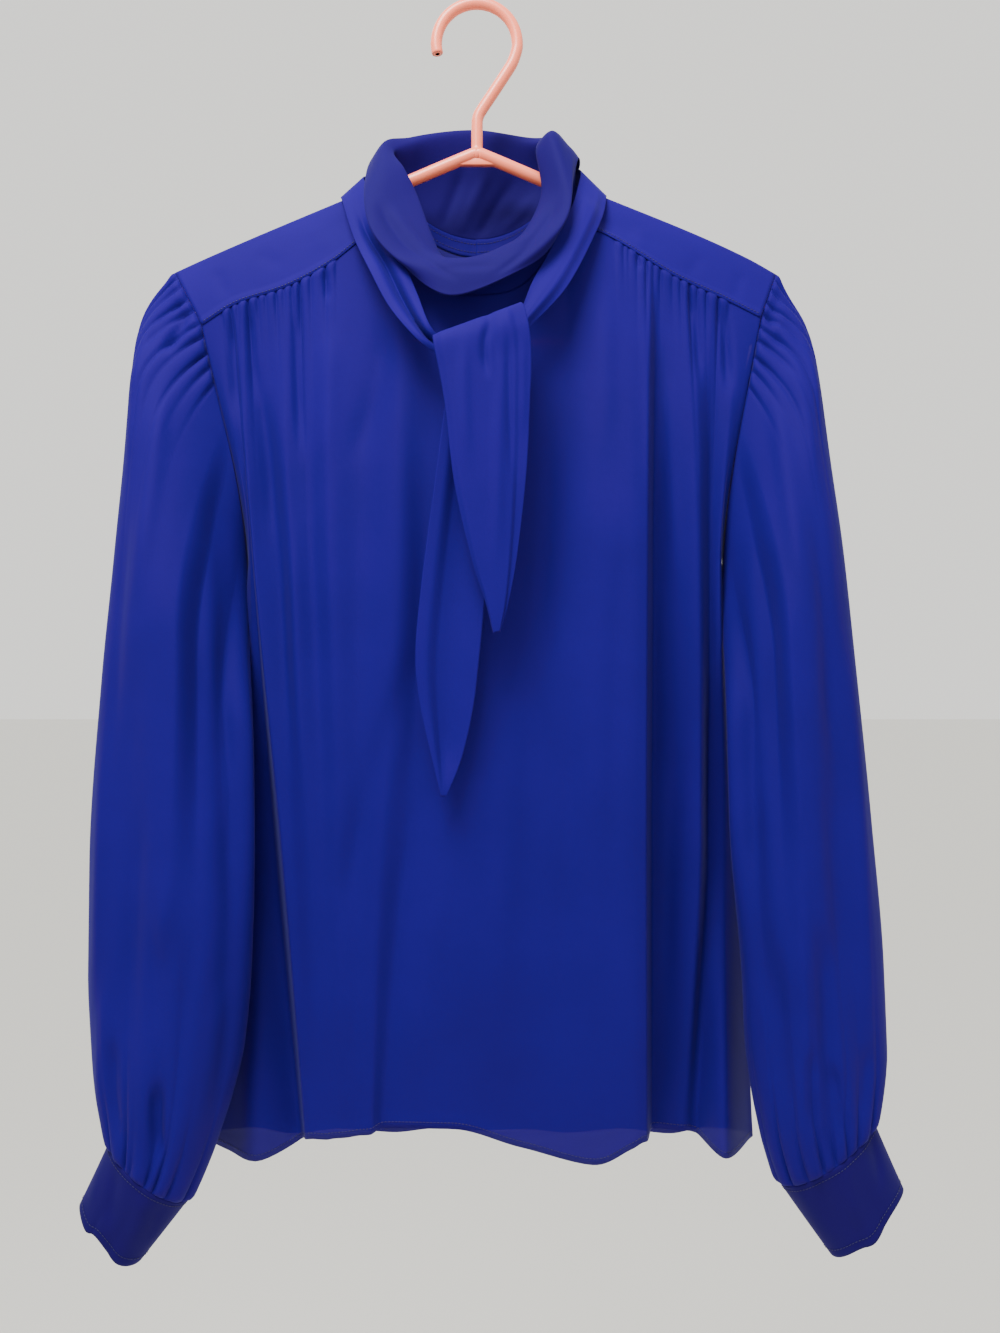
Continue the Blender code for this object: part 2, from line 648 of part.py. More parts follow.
def yoke_grid(side, across, over):
    """A yoke: across from neck to armhole, and over from its front seam to its back seam."""
    sign = -1 if side == "left" else 1
    front_end, back_end = (ends[0 if sign < 0 else 1] for ends in (FRONT_ENDS, BACK_ENDS))
    corner = sign * NECK_CORNER_X
    across = np.asarray(across, float)
    front = top_edge(corner + (front_end - corner) * across, YOKE_SEAM_LEFT, YOKE_SEAM_RIGHT, True)
    back = top_edge(corner + (back_end - corner) * across, BACK_SEAM_LEFT, BACK_SEAM_RIGHT, False)
    shoulder = SHOULDER_LEFT if sign < 0 else SHOULDER_RIGHT
    start, end = shoulder[0].x, shoulder[-1].x
    xs = start + (end - start) * across
    order = sorted(shoulder, key=lambda p: p.x)
    heights = smooth([p.x for p in order], [p.z for p in order], xs)
    top = np.stack([xs, np.zeros_like(xs), heights], axis=-1)

    def between(edge, depth, drop):
        share = drop / (top[:, 2] - edge[:, 2])
        x = top[:, 0] + (edge[:, 0] - top[:, 0]) * share
        return np.stack([x, np.full_like(x, depth), top[:, 2] - drop], axis=-1)

    def over_rod(edge, sign, degrees):
        angle = math.radians(degrees)
        return between(edge, sign * ROD_COVER_Y * math.sin(angle), ROD_COVER_Z * (1 - math.cos(angle)))

    points = [
        front,
        between(front, YOKE_FALL_LOW.y, YOKE_FALL_LOW.drop),
        between(front, YOKE_FALL_HIGH.y, YOKE_FALL_HIGH.drop),
        over_rod(front, -1, 75),
        over_rod(front, -1, 50),
        over_rod(front, -1, 25),
        top,
        over_rod(back, 1, 25),
        over_rod(back, 1, 50),
        between(back, YOKE_FALL_BACK.y, YOKE_FALL_BACK.drop),
        back,
    ]
    rolled = (0.42, 0.45, 0.475, 0.5, 0.525, 0.55)
    keys = (0, YOKE_FALL_LOW.share, YOKE_FALL_HIGH.share) + rolled + (YOKE_FALL_BACK.share, 1)
    grid = smooth(keys, np.stack(points), over)
    near = np.clip(1 - across / YOKE_NECK_SHARE, 0, 1)[:, None]
    for row, share in enumerate(over):
        z = grid[row, 0, 2]
        depth, deep_y = (NECK_FRONT_Z, NECK_FRONT_Y) if share < 0.5 else (NECK_BACK_Z, NECK_BACK_Y)
        power = 3 if share < 0.5 else 2
        wide = min(max((z - depth) / (NECK_SIDE_Z - depth), 0), 1) ** (1 / power)
        edge = np.array([sign * NECK_HALF_WIDTH * wide, deep_y * math.sqrt(1 - wide**2), z])
        grid[row] += (edge - grid[row, 0]) * near
    return grid


def add_yoke(side, material):
    across = np.linspace(0, 1, SEAM_KNOTS)
    over = [0, 0.14, 0.27, 0.38, 0.42, 0.45, 0.475, 0.5, 0.525, 0.55, 0.6, 0.8, 1]
    grid = yoke_grid(side, across, over)
    normals = grid_normals(grid, False)
    normals[0] = level_normals(grid[0], normals[0])
    normals[-1] = level_normals(grid[-1], normals[-1])
    grid = pull_in(grid, top=HALF_SEAM, bottom=HALF_SEAM, left=2 * SEAM_GAP, right=HALF_SEAM)
    return wall("yoke_" + side, grid, material, normals=normals)


def by_length(path, at):
    """Points at shares of a path's length."""
    step = np.linalg.norm(np.diff(path, axis=0), axis=1)
    length = np.concatenate([[0], np.cumsum(step)])
    share = np.asarray(at) * length[-1]
    return np.stack([np.interp(share, length, path[:, k]) for k in range(3)], axis=-1)


def armhole(side, turns):
    """The armhole's points by turns: 0 the shoulder, 0.25 the front, 0.5 under the arm."""
    end = 0 if side == "left" else 1
    steps = 24
    down = np.linspace(0, LEVELS[1], steps + 1)
    yoke = yoke_grid(side, [1.0], np.linspace(0, 1, 2 * steps + 1))[:, 0]
    front = front_grid([FRONT_ENDS[end]], down)[:, 0]
    back = back_grid([BACK_ENDS[end]], down)[:, 0]
    fore = np.concatenate([yoke[steps::-1], front[1:]])
    aft = np.concatenate([back[::-1], yoke[-2:steps - 1:-1]])
    turns = np.mod(turns, 1.0)
    first = by_length(fore, np.clip(turns * 2, 0, 1))
    second = by_length(aft, np.clip(turns * 2 - 1, 0, 1))
    return np.where((turns < 0.5)[:, None], first, second)


def cuff_ring(cuff, turns, down):
    """A ring of the cuff; down is 0 at the seam and 1 at the open end."""
    outer = np.array(cuff.seam_outer) * (1 - down) + np.array(cuff.end_outer) * down
    inner = np.array(cuff.seam_inner) * (1 - down) + np.array(cuff.end_inner) * down
    angle = 2 * np.pi * turns
    middle = (outer + inner) / 2
    half = (outer - inner) / 2
    x = middle[0] + half[0] * np.cos(angle)
    z = middle[1] + half[1] * np.cos(angle)
    deep = cuff.seam_half * (1 - down) + cuff.end_half * down
    y = cuff.y - deep * np.sin(angle)
    wave = CUFF_WAVE * down * down * np.sin(2 * angle + 0.6)
    return np.stack([x, y, z + wave], axis=-1)


def cuff_grid(side, turns, downs=(0, 0.35, 0.7, 1)):
    cuff = CUFF_LEFT if side == "left" else CUFF_RIGHT
    return np.array([cuff_ring(cuff, turns, down) for down in downs])


def fold_depths(folds, angle, z):
    """How far the long folds draw a sleeve's ring inward."""
    inward = np.zeros_like(z)
    for fold in folds:
        share = (z - fold.z_top) / (fold.z_end - fold.z_top)
        centre = fold.angle_top + (fold.angle_end - fold.angle_top) * share
        away = (np.degrees(angle) - centre + 180) % 360 - 180
        inward += fold.depth * bump(away, fold.width) * ease(share * 5) * ease((1 - share) * 3)
    return inward


def tuck_depths(angle, down):
    """How far the gathers at the cap and above the cuff draw a sleeve's ring inward."""
    near_cuff = ease((down - CUFF_TUCK_START) / CUFF_TUCK_LENGTH) * ease((1 - down) / 0.02)
    cuff_wave = np.cos(CUFF_TUCKS * angle + 0.5 * np.sin(2 * angle))
    near_cap = ease(down / CAP_TUCK_START) * (1 - ease((down - CAP_TUCK_START) / CAP_TUCK_LENGTH))
    cap_wave = np.cos(CAP_TUCKS * angle) * np.maximum(np.cos(angle), 0) ** 0.5
    return CUFF_TUCK_DEPTH * cuff_wave * near_cuff + CAP_TUCK_DEPTH * cap_wave * near_cap


def sleeve_grid(side, turns, downs):
    """A sleeve from the armhole down to the cuff's seam."""
    left = side == "left"
    sign = -1 if left else 1
    rings = SLEEVE_LEFT if left else SLEEVE_RIGHT
    folds = SLEEVE_FOLDS_LEFT if left else SLEEVE_FOLDS_RIGHT
    turns = np.asarray(turns, float)
    angle = 2 * np.pi * turns
    under = 0.5 - 0.5 * np.cos(angle)
    start = armhole(side, turns)
    start[:, 0] += sign * (SLEEVE_SEAM + UNDERARM_SEAM * under**6)
    start[:, 2] -= UNDERARM_DROP * under**6
    end = cuff_ring(CUFF_LEFT if left else CUFF_RIGHT, turns, 0.0)
    keys = [-r.z for r in rings]
    table = [(r.outer, r.inner, r.y, r.half) for r in rings]
    rows = []
    for down in downs:
        z = start[:, 2] * (1 - down) + end[:, 2] * down
        outer, inner, y, half = smooth(keys, table, np.clip(-z, keys[0], keys[-1])).T
        wide = np.abs(outer - inner) / 2
        out_x = sign * np.cos(angle) / wide
        out_y = -np.sin(angle) / half
        inward = (fold_depths(folds, angle, z) + tuck_depths(angle, down)) / np.hypot(out_x, out_y)
        x = (outer + inner) / 2 + sign * wide * np.cos(angle) - out_x * inward
        depth = y - half * np.sin(angle) - out_y * inward
        tube = np.stack([x, depth, z], axis=-1)
        tube_start = TUBE_START_CAP + (TUBE_START_UNDER - TUBE_START_CAP) * ease(under * 2)
        quick = 1 - (1 - np.clip(down / tube_start, 0, 1)) ** 3
        slow = ease(down / UNDERARM_TURN)
        blend = (quick + (slow - quick) * under)[:, None]
        clear = UNDERARM_CLEAR * bump(z - UNDERARM_CLEAR_Z, UNDERARM_CLEAR_WIDTH) * under**4
        hanging = np.stack([start[:, 0] + sign * clear, start[:, 1], z], axis=-1)
        tube = hanging * (1 - blend) + tube * blend
        close = ease((down - (1 - CUFF_CLOSE)) / CUFF_CLOSE)
        rows.append(tube * (1 - close) + end * close)
    return np.array(rows)


def add_sleeve(side, material):
    downs = [0, 0.012, 0.03, 0.06, 0.1, 0.16, 0.24, 0.34, 0.46, 0.58, 0.7, 0.8, 0.88, 0.94, 1]
    turns = np.arange(SLEEVE_COLUMNS) / SLEEVE_COLUMNS
    grid = sleeve_grid(side, turns, downs)
    normals = grid_normals(grid, True)
    normals[-1] = grid_normals(cuff_grid(side, turns), True)[0]
    grid = pull_in(grid, bottom=HALF_SEAM)
    return wall("sleeve_" + side, grid, material, closed=True, normals=normals)


def add_cuff(side, material):
    grid = cuff_grid(side, np.arange(SLEEVE_COLUMNS) / SLEEVE_COLUMNS)
    normals = grid_normals(grid, True)
    grid = pull_in(grid, top=HALF_SEAM)
    return wall("cuff_" + side, grid, material, closed=True, normals=normals)


def add_neck_band(material):
    angles = np.concatenate([[1.6], NECK_STATIONS, [358.4]])
    low = neckline(angles) + np.array([0, 0, BAND_LIFT])
    grid = np.stack([low, low + np.array([0, 0, BAND_HEIGHT])])
    return wall("neck_band", grid, material)


def collar_grid(angles, across):
    """The collar: across is 0 at the neck seam, 0.5 at the top of the roll, 1 at the free edge."""
    keys = [s.angle for s in COLLAR]
    table = [(s.inside, s.crest, s.face, s.rim, s.lower) for s in COLLAR]
    rest = round_curve(keys, table, angles, period=360)
    seam = neckline(angles) + np.array([0, 0, BAND_LIFT + BAND_HEIGHT + SEAM_GAP + WALL / 2])
    points = np.concatenate([seam[:, None], rest], axis=1).transpose(1, 0, 2)
    return round_curve((0, 0.25, 0.45, 0.58, 0.75, 1), points, across)


def add_collar(material):
    across = [0, 0.13, 0.25, 0.35, 0.45, 0.52, 0.58, 0.67, 0.75, 0.87, 1]
    grid = collar_grid(NECK_STATIONS, across)
    normals = grid_normals(grid, True)
    along = np.roll(grid[0], -1, axis=0) - np.roll(grid[0], 1, axis=0)
    level = np.stack([-along[:, 1], along[:, 0], np.zeros(len(along))], axis=-1)
    level /= np.linalg.norm(level, axis=1, keepdims=True)
    same = np.sum(level * normals[0], axis=1).sum()
    normals[0] = level if same > 0 else -level
    return wall("collar", grid, material, closed=True, normals=normals)


def band_grid(pairs, along, across):
    """A band between two edges."""
    keys = np.linspace(0, 1, len(pairs))
    edges = round_curve(keys, [(p.outer, p.inner) for p in pairs], along)
    across = np.asarray(across)[None, :, None]
    return edges[:, :1] * (1 - across) + edges[:, 1:] * across


def tie_left_grid(along, across):
    grid = band_grid(TIE_LEFT, along, across)
    along = np.asarray(along)[:, None]
    across = np.asarray(across)[None, :]
    slit = bump(across - 0.5, 0.14) * ease((along - 0.5) / 0.12) * ease((1.02 - along) / 0.12)
    grid[:, :, 1] += TIE_SLIT * slit
    return grid


def tie_right_grid(along, across):
    grid = band_grid(TIE_RIGHT, along, across)
    along = np.asarray(along)[:, None]
    across = np.asarray(across)[None, :]
    grid[:, :, 1] -= TIE_RIDGE * bump(across - 0.45, 0.3) * ease((along - 0.45) / 0.2)
    return grid


def tail_front_grid(along, across):
    grid = band_grid(TAIL_FRONT, along, across)
    along = np.asarray(along)[:, None]
    across = np.asarray(across)[None, :]
    grid[:, :, 1] += 2.0 * ease((across - 0.8) / 0.08) * ease((along - 0.1) / 0.15)
    grid[:, :, 1] += 1.4 * bump(across - 0.62, 0.06) * ease((0.5 - along) / 0.2)
    grid[:, :, 1] += 2.0 * ease((0.1 - across) / 0.1)
    return grid


def tail_rear_grid(along, across):
    grid = band_grid(TAIL_REAR, along, across)
    along = np.asarray(along)[:, None]
    across = np.asarray(across)[None, :]
    hollow = ease((across - 0.14) / 0.2) * bump(across - 0.5, 0.4)
    grid[:, :, 1] += 5.0 * hollow * ease((1.0 - along) / 0.2) * ease(along / 0.15)
    return grid


def add_ties(material):
    along = np.linspace(0, 1, 22)
    across = (0, 0.2, 0.36, 0.5, 0.64, 0.8, 1)
    wall("tie_left", tie_left_grid(along, across), material)
    wall("tie_right", tie_right_grid(along, (0, 0.25, 0.5, 0.75, 1)), material)
    tail = (0, 0.1, 0.3, 0.55, 0.62, 0.69, 0.8, 0.88, 1)
    wall("tail_front", tail_front_grid(np.linspace(0, 1, 17), tail), material)
    wall("tail_rear", tail_rear_grid(np.linspace(0, 1, 15), (0, 0.08, 0.16, 0.3, 0.5, 0.75, 1)), material)


def add_knot(material):
    """The wrap of the knot, behind the top of the front tail."""
    turns = np.arange(KNOT_SIDES) / KNOT_SIDES * 2 * np.pi
    rows = []
    for hoop in KNOT_HOOPS:
        off = hoop.wide * np.cos(turns)
        y = KNOT_Y - hoop.deep * np.sin(turns)
        rows.append(np.stack([KNOT_X + off, y, hoop.z + KNOT_SLOPE * off], axis=-1))
    wall("tie_knot", np.array(rows), material, closed=True)


def tube(name, path, radius, sides, material, closed=False):
    """A round rod along a path in the XZ plane."""
    path = np.asarray(path, float)
    if closed:
        along = np.roll(path, -1, axis=0) - np.roll(path, 1, axis=0)
    else:
        along = np.gradient(path, axis=0)
    along /= np.linalg.norm(along, axis=1, keepdims=True)
    side = np.stack([along[:, 2], np.zeros(len(path)), -along[:, 0]], axis=-1)
    turn = np.arange(sides) / sides * 2 * np.pi
    radii = np.broadcast_to(radius, (len(path),))[:, None, None]
    out = side[:, None] * np.cos(turn)[None, :, None]
    out = out + np.array([0.0, 1.0, 0.0]) * np.sin(turn)[None, :, None]
    points = (path[:, None] + out * radii).reshape(-1, 3)
    count = len(path)
    faces = []
    for row in range(count if closed else count - 1):
        below = (row + 1) % count
        for col in range(sides):
            right = (col + 1) % sides
            faces.append(
                (row * sides + col, row * sides + right, below * sides + right, below * sides + col)
            )
    if not closed:
        faces.append(tuple(range(sides)))
        faces.append(tuple((count - 1) * sides + col for col in reversed(range(sides))))
    return make_object(name, points, faces, material)


def hook_path():
    """Centre line of the hook and the neck, and the radius along it."""
    centre_x, centre_z = HOOK_CENTRE
    arc = np.radians(np.linspace(*HOOK_ARC, 19))
    x = centre_x + HOOK_RADIUS * np.cos(arc)
    z = centre_z + HOOK_RADIUS * np.sin(arc)
    path = np.concatenate([np.stack([x, z], axis=-1), HOOK_REST])
    tip = path[0] + (path[0] - path[1]) * 0.12
    path = np.concatenate([[tip], path])
    radius = np.full(len(path), NECK_ROD_RADIUS)
    radius[0] = NECK_ROD_RADIUS * 0.7
    return np.stack([path[:, 0], np.zeros(len(path)), path[:, 1]], axis=-1), radius


def frame_path():
    """Centre line of the arms and the bar, as one closed loop."""
    arm = [(x, APEX_Z - ARM_SLOPE * x) for x in ARM_XS]
    half = arm + list(ARM_CORNER) + [(x, BAR_Z) for x in BAR_XS]
    other = [(-x, z) for x, z in reversed(half)]
    points = [(0, APEX_Z - 1.2)] + half + other
    return np.array([(x, 0, z) for x, z in points])


def flat_plate(name, outline, thickness, material):
    """A plate in the XZ plane."""
    count = len(outline)
    points = [(x, -thickness / 2, z) for x, z in outline] + [(x, thickness / 2, z) for x, z in outline]
    faces = [tuple(range(count)), tuple(reversed(range(count, 2 * count)))]
    faces += [(i, (i + 1) % count, count + (i + 1) % count, count + i) for i in range(count)]
    return make_object(name, points, faces, material)


def join_to(base, other):
    union = base.modifiers.new("join", "BOOLEAN")
    union.operation = "UNION"
    union.solver = "EXACT"
    union.object = other
    bpy.context.view_layer.update()
    made = bpy.data.meshes.new_from_object(base.evaluated_get(bpy.context.evaluated_depsgraph_get()))
    base.modifiers.clear()
    old = base.data
    base.data = made
    base.data.name = old.name
    bpy.data.meshes.remove(old)
    bpy.data.objects.remove(other, do_unlink=True)


def add_hanger(material):
    path, radius = hook_path()
    hanger = tube("hanger", path, radius, 10, material)
    join_to(hanger, tube("loop", frame_path(), ROD_RADIUS, 10, material, closed=True))
    join_to(hanger, flat_plate("web", WEB_OUTLINE, WEB_THICKNESS, material))
    for sign in (-1, 1):
        arm_z = APEX_Z - ARM_SLOPE * STRAP_HOOK_X
        hook = [(sign * (STRAP_HOOK_X + x), 0, arm_z + z) for x, z in STRAP_HOOK_STEPS]
        join_to(hanger, tube("strap_hook", hook, STRAP_ROD_RADIUS, 6, material))
        stub_z = APEX_Z - ARM_SLOPE * STUB_X
        stub = [(sign * STUB_X, 0, stub_z), (sign * STUB_X, 0, stub_z - STUB_LENGTH)]
        join_to(hanger, tube("stub", stub, STRAP_ROD_RADIUS, 6, material))
    return hanger


def add_button(material):
    face_y = NECK_BACK_Y + WALL / 2 + SEAM_GAP
    turn = np.arange(BUTTON_SIDES) / BUTTON_SIDES * 2 * np.pi
    rings = []
    for radius, depth in BUTTON_RINGS:
        x = BUTTON_X + radius * np.cos(turn)
        z = BUTTON_Z + radius * np.sin(turn)
        rings.append(np.stack([x, np.full_like(x, face_y + depth), z], axis=-1))
    points = np.concatenate(rings)
    faces = []
    for row in range(len(rings) - 1):
        top = row * BUTTON_SIDES
        below = top + BUTTON_SIDES
        for col in range(BUTTON_SIDES):
            right = (col + 1) % BUTTON_SIDES
            faces.append((top + col, top + right, below + right, below + col))
    faces.append(tuple(range(BUTTON_SIDES)))
    faces.append(tuple(reversed(range(len(points) - BUTTON_SIDES, len(points)))))
    return make_object("neck_button", points, faces, material)


def build():
    clear_scene()
    body = make_material("blue georgette", BLUE, 0.75)
    doubled = make_material("blue georgette, doubled", COLLAR_BLUE, 0.75)
    plastic = make_material("salmon plastic", PINK, 0.35)
    button = make_material("blue button", BUTTON_BLUE, 0.3)
    add_hanger(plastic)
    add_front(body)
    add_back(body)
    for side in ("left", "right"):
        add_yoke(side, doubled)
        add_sleeve(side, body)
        add_cuff(side, doubled)
    add_neck_band(doubled)
    add_collar(doubled)
    add_ties(doubled)
    add_knot(doubled)
    add_button(button)


build()
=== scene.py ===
"""Looks of the tie neck blouse: thin crepe georgette on a moulded hanger.

Sizes are millimetres in the part's own frame and are turned to metres with MM before they go to mesh_object.
+Z is up, the front faces -Y, +X is to the right as seen from the front, the origin is the hook's inner top.
"""
import math
from collections import namedtuple

import bpy
import numpy as np
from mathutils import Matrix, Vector


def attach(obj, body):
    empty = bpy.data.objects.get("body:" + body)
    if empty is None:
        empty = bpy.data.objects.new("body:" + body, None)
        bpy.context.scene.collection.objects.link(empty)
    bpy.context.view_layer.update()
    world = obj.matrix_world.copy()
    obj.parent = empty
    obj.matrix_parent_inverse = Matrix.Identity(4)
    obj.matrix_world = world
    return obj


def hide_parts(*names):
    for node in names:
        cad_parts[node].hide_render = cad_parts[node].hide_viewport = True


MM = 0.001

# The photograph's camera, in metres: 0.68 mm a pixel at the hanger, seen level from the front
PIXEL_SIZE = 0.00068
CAMERA_DISTANCE = 0.76
CAMERA_X = 0.0156
CAMERA_Z = -0.4469

# Floor and lights, in metres
FLOOR_Z = -1.9
WORLD_STRENGTH = 1.35
AIM = (0.0, 0.0, -0.4)
LIGHTS = (
    ("key softbox", (-0.3, -0.7, 0.7), 0.6, 34.0),
    ("fill softbox", (1.2, -1.4, 0.3), 1.0, 2.0),
    ("back softbox", (-0.3, 1.3, 0.6), 1.2, 10.0),
)

# Colours, linear, and how much each kind of cloth covers
RELIEF_DEPTH = 0.0002
THREAD_SCALE = 420.0
CLOTH_LIGHT = (0.0145, 0.0, 0.178)
CLOTH_DARK = (0.0098, 0.0, 0.13)
DENSE_LIGHT = (0.009, 0.0, 0.106)
DENSE_DARK = (0.0064, 0.0, 0.078)
SHEER_ALPHA = 0.9
DOUBLE_ALPHA = 0.97
DENSE_ALPHA = 1.0

# Cloth thickness by piece
CLOTH = 0.4
BAND_THICKNESS = 0.8
CUFF_THICKNESS = 0.9
COLLAR_THICKNESS = 0.8
TIE_THICKNESS = 0.9

# Points round the tubes of cloth
SLEEVE_COLUMNS = 300
CUFF_COLUMNS = 120

# Gathers: how far the cloth between two tucks stands out
PUFF_SHARE = 0.32
PUFF_LIMIT = 3.0
PUFF_RISE = 1.6
PUFF_SCALE = {"mm": 1.0, "turn": 410.0, "degree": 0.48}
TUCK_HALF_WIDTH = 1.1

# Sewing
STITCH_PITCH = 2.3
STITCH_LENGTH = 1.7
STITCH_RADIUS = 0.24
STITCH_LIFT = 0.1
STITCH_OUT = 0.28
HEM_WIDTH = 5.0
HEM_LIFT = 0.45
HEM_STITCH_IN = 1.0
YOKE_EDGE_LIFT = 0.5
YOKE_EDGE_WIDTH = 3.2
YOKE_STITCH_IN = 1.0
YOKE_LAP = 1.0
OPENING_LENGTH = 62.0
OPENING_LIFT = 0.45
OPENING_LAP = 1.6
CUFF_SEAM_ROW = 2
CUFF_EDGE_ROW = 26

# Button at the centre back, behind the neck band
BUTTON_X = -9.5
BUTTON_Z = -151.5
BUTTON_OUT = 0.8
BUTTON_SIDES = 48
# Radius and depth of the button's rings, from its back to the middle of its face
BUTTON_PROFILE = (
    (3.4, 0.0),
    (4.6, 0.1),
    (5.0, 0.5),
    (5.05, 1.0),
    (4.9, 1.6),
    (4.5, 2.0),
    (4.0, 2.05),
    (3.5, 1.7),
    (2.9, 1.45),
    (0.05, 1.4),
)

# Knot
KNOT_X = 3.0
KNOT_TOP_Z = -229.0
KNOT_HEIGHT = 18.0
KNOT_HALF_WIDTH = 23.0
KNOT_HALF_DEPTH = 2.7
KNOT_SLOPE = 0.34

# Body
WALL = 1.0
SIDE_ZONE = 16.0
BULGE_ZONE = 28.0
ARMHOLE_BULGE = 6.0
ARMHOLE_WALL = 20.0
ARMHOLE_TOP_Y = 13.0
SEAM_GAP = 0.3

# Hanger
ROD_RADIUS = 4.2
NECK_ROD_RADIUS = 3.9
APEX_Z = -97.6
ARM_SLOPE = 0.425
BAR_Z = -229.0
HOOK_RADIUS = 27.5
HOOK_CENTRE = (-0.2, -23.6)
# Points of the rod from the hook's arc down to the apex, x and z
HOOK_REST = (
    (24.2, -36.0),
    (19.8, -43.4),
    (10.2, -58.0),
    (2.4, -69.8),
    (0.4, -74.5),
    (0, -80),
    (0, APEX_Z),
)
ARM_XS = (8, 60, 120, 180)
ARM_CORNER = (
    (189, -178.6),
    (196, -184.5),
    (198.6, -192.5),
    (197, -203),
    (192.5, -215),
    (185, -224),
    (174, -228.4),
)
BAR_XS = (158, 58)
STRAP_X = 143.5
STUB_X = 167.0
STUB_LENGTH = 19.0
STRAP_RADIUS = 1.9
# A strap hook's points: out from its root and down from the arm
STRAP_HOOK = ((0, 0), (0, -14), (1.5, -19), (5.5, -21.5), (10.5, -20))
WEB_HALF_DEPTH = 2.3
WEB_OUTLINE = ((0, -98.5), (16, -104.4), (11, -106.6), (-11, -106.6), (-16, -104.4))
ROD_COVER_Y = 5.3
ROD_COVER_Z = 5.7
# Heights of the body's rows
CHEST_Z = -377.0
WAIST_Z = -560.0
LEVELS = (0.0, 0.31, 0.64, 1.0)
# Neckline: half width, depth to the front and to the back, heights
NECK_HALF_WIDTH = 67.0
NECK_FRONT_Y = -37.0
NECK_BACK_Y = 30.0
NECK_SIDE_Z = -120.6
NECK_FRONT_Z = -206.0
NECK_BACK_Z = -157.0
NECK_CORNER_X = 58.5
BAND_HEIGHT = 9.0
BAND_LIFT = 1.1
BAND_LAP = 2.0
BAND_TOP_LAP = 1.4
BAND_INSET = 0.5
OPENING_WIDTH = 0.8
Line = namedtuple("Line", "top chest_x chest_y waist_x waist_y hem_x hem_y hem_z")
# One row for each fold of the front, from its left side to its right side. Ridges have the lower y.
FRONT_LINES = (
    Line(-184, -155.0, 0, -178, 12, -188, 12, -771),
    Line(-182, -153.8, -4, -176, 8, -186, 8, -771),
    Line(-177, -152.0, -10, -163, 5, -167, -6, -773),
    Line(-171, -150.5, -13, -151, 1, -146, -21, -774),
    Line(-165, -149.0, -15, -139, 0, -120, -4, -767),
    Line(-158, -146.5, -22, -127, -30, -110, -36, -753),
    Line(-144, -132.0, -17, -117, -32, -104, -38, -752),
    Line(-130, -120.0, -26, -108, -35, -97, -39, -752),
    Line(-116, -109.0, -24, -100, -36, -91, -39.5, -751),
    Line(-98, -94.0, -32, -89, -38.5, -83, -40.5, -750),
    Line(-79, -77.0, -29, -77, -37, -76, -40, -749),
    Line(-52, -50.0, -38, -62, -39, -68, -41, -748),
    Line(-30, -33.0, -31, -44, -33, -60, -35, -746),
    Line(0, -8.0, -38, -12, -38, -18, -39, -745),
    Line(42, 42.0, -30, 36, -33, 30, -37, -758),
    Line(75, 80.0, -40, 78, -41, 76, -42, -767),
    Line(100, 99.0, -42, 100, -43, 100, -44, -756),
    Line(113, 110.0, -40, 109, -42, 109.5, -42, -752),
    Line(121, 119.0, -12, 119, -6, 119, -4, -759),
    Line(141, 146.0, -25, 147, -20, 138, -8, -759),
    Line(160, 157.0, -12, 157, -3, 148, -4, -762),
    Line(173, 162.0, -14, 166, -3, 163, -28, -769),
    Line(186, 165.0, -6, 178, 8, 187, 8, -771),
    Line(190, 166.0, 0, 180, 12, 190, 12, -771),
)
# One row for each soft fold of the back
BACK_LINES = (
    Line(-186, -155.0, 0, -178, 12, -188, 12, -771),
    Line(-183, -153.8, 4, -176, 16, -186, 16, -771),
    Line(-168, -143.0, 19, -155, 27, -160, 28, -772),
    Line(-140, -120.0, 16, -125, 20, -130, 18, -772),
    Line(-100, -90.0, 25, -92, 29, -96, 31, -774),
    Line(-64, -56.0, 20, -56, 21, -58, 20, -772),
    Line(-30, -28.0, 27, -29, 29, -31, 31, -774),
    Line(0, 0.0, 23, 0, 23, 0, 23, -772),
    Line(34, 30.0, 27, 32, 29, 34, 30, -774),
    Line(66, 60.0, 19, 60, 20, 62, 19, -772),
    Line(104, 96.0, 25, 97, 29, 101, 31, -774),
    Line(144, 126.0, 16, 130, 20, 134, 18, -772),
    Line(172, 152.0, 19, 158, 27, 163, 28, -772),
    Line(187, 165.0, 4, 178, 16, 188, 16, -771),
    Line(190, 166.0, 0, 180, 12, 190, 12, -771),
)
Point = namedtuple("Point", "x y z")
# Seam of the front to the yokes, from the armhole to the neck
YOKE_SEAM_LEFT = (
    Point(-184, -13, -218),
    Point(-161, -13, -204),
    Point(-128, -13.5, -193),
    Point(-94, -15, -175),
    Point(-80, -16, -164.5),
    Point(-58.5, -18, -149.6),
)
YOKE_SEAM_RIGHT = (
    Point(58.5, -18, -149.6),
    Point(84, -16, -158),
    Point(97, -15, -164.5),
    Point(131.5, -13.5, -185),
    Point(166, -13, -201),
    Point(190, -13, -213),
)
BACK_SEAM_LEFT = (
    Point(-186, 13, -215),
    Point(-128, 13.5, -187),
    Point(-80, 14, -146),
    Point(-58.5, 14.6, -129.3),
)
BACK_SEAM_RIGHT = (
    Point(58.5, 14.6, -129.3),
    Point(80, 14, -145),
    Point(128, 13.5, -186),
    Point(190, 13, -212),
)
SHOULDER_LEFT = (Point(-67, 0, -120.4), Point(-186, 0, -170.9), Point(-204.5, 0, -179.4))
SHOULDER_RIGHT = (Point(67, 0, -120.4), Point(184, 0, -170.1), Point(202.5, 0, -180.5))
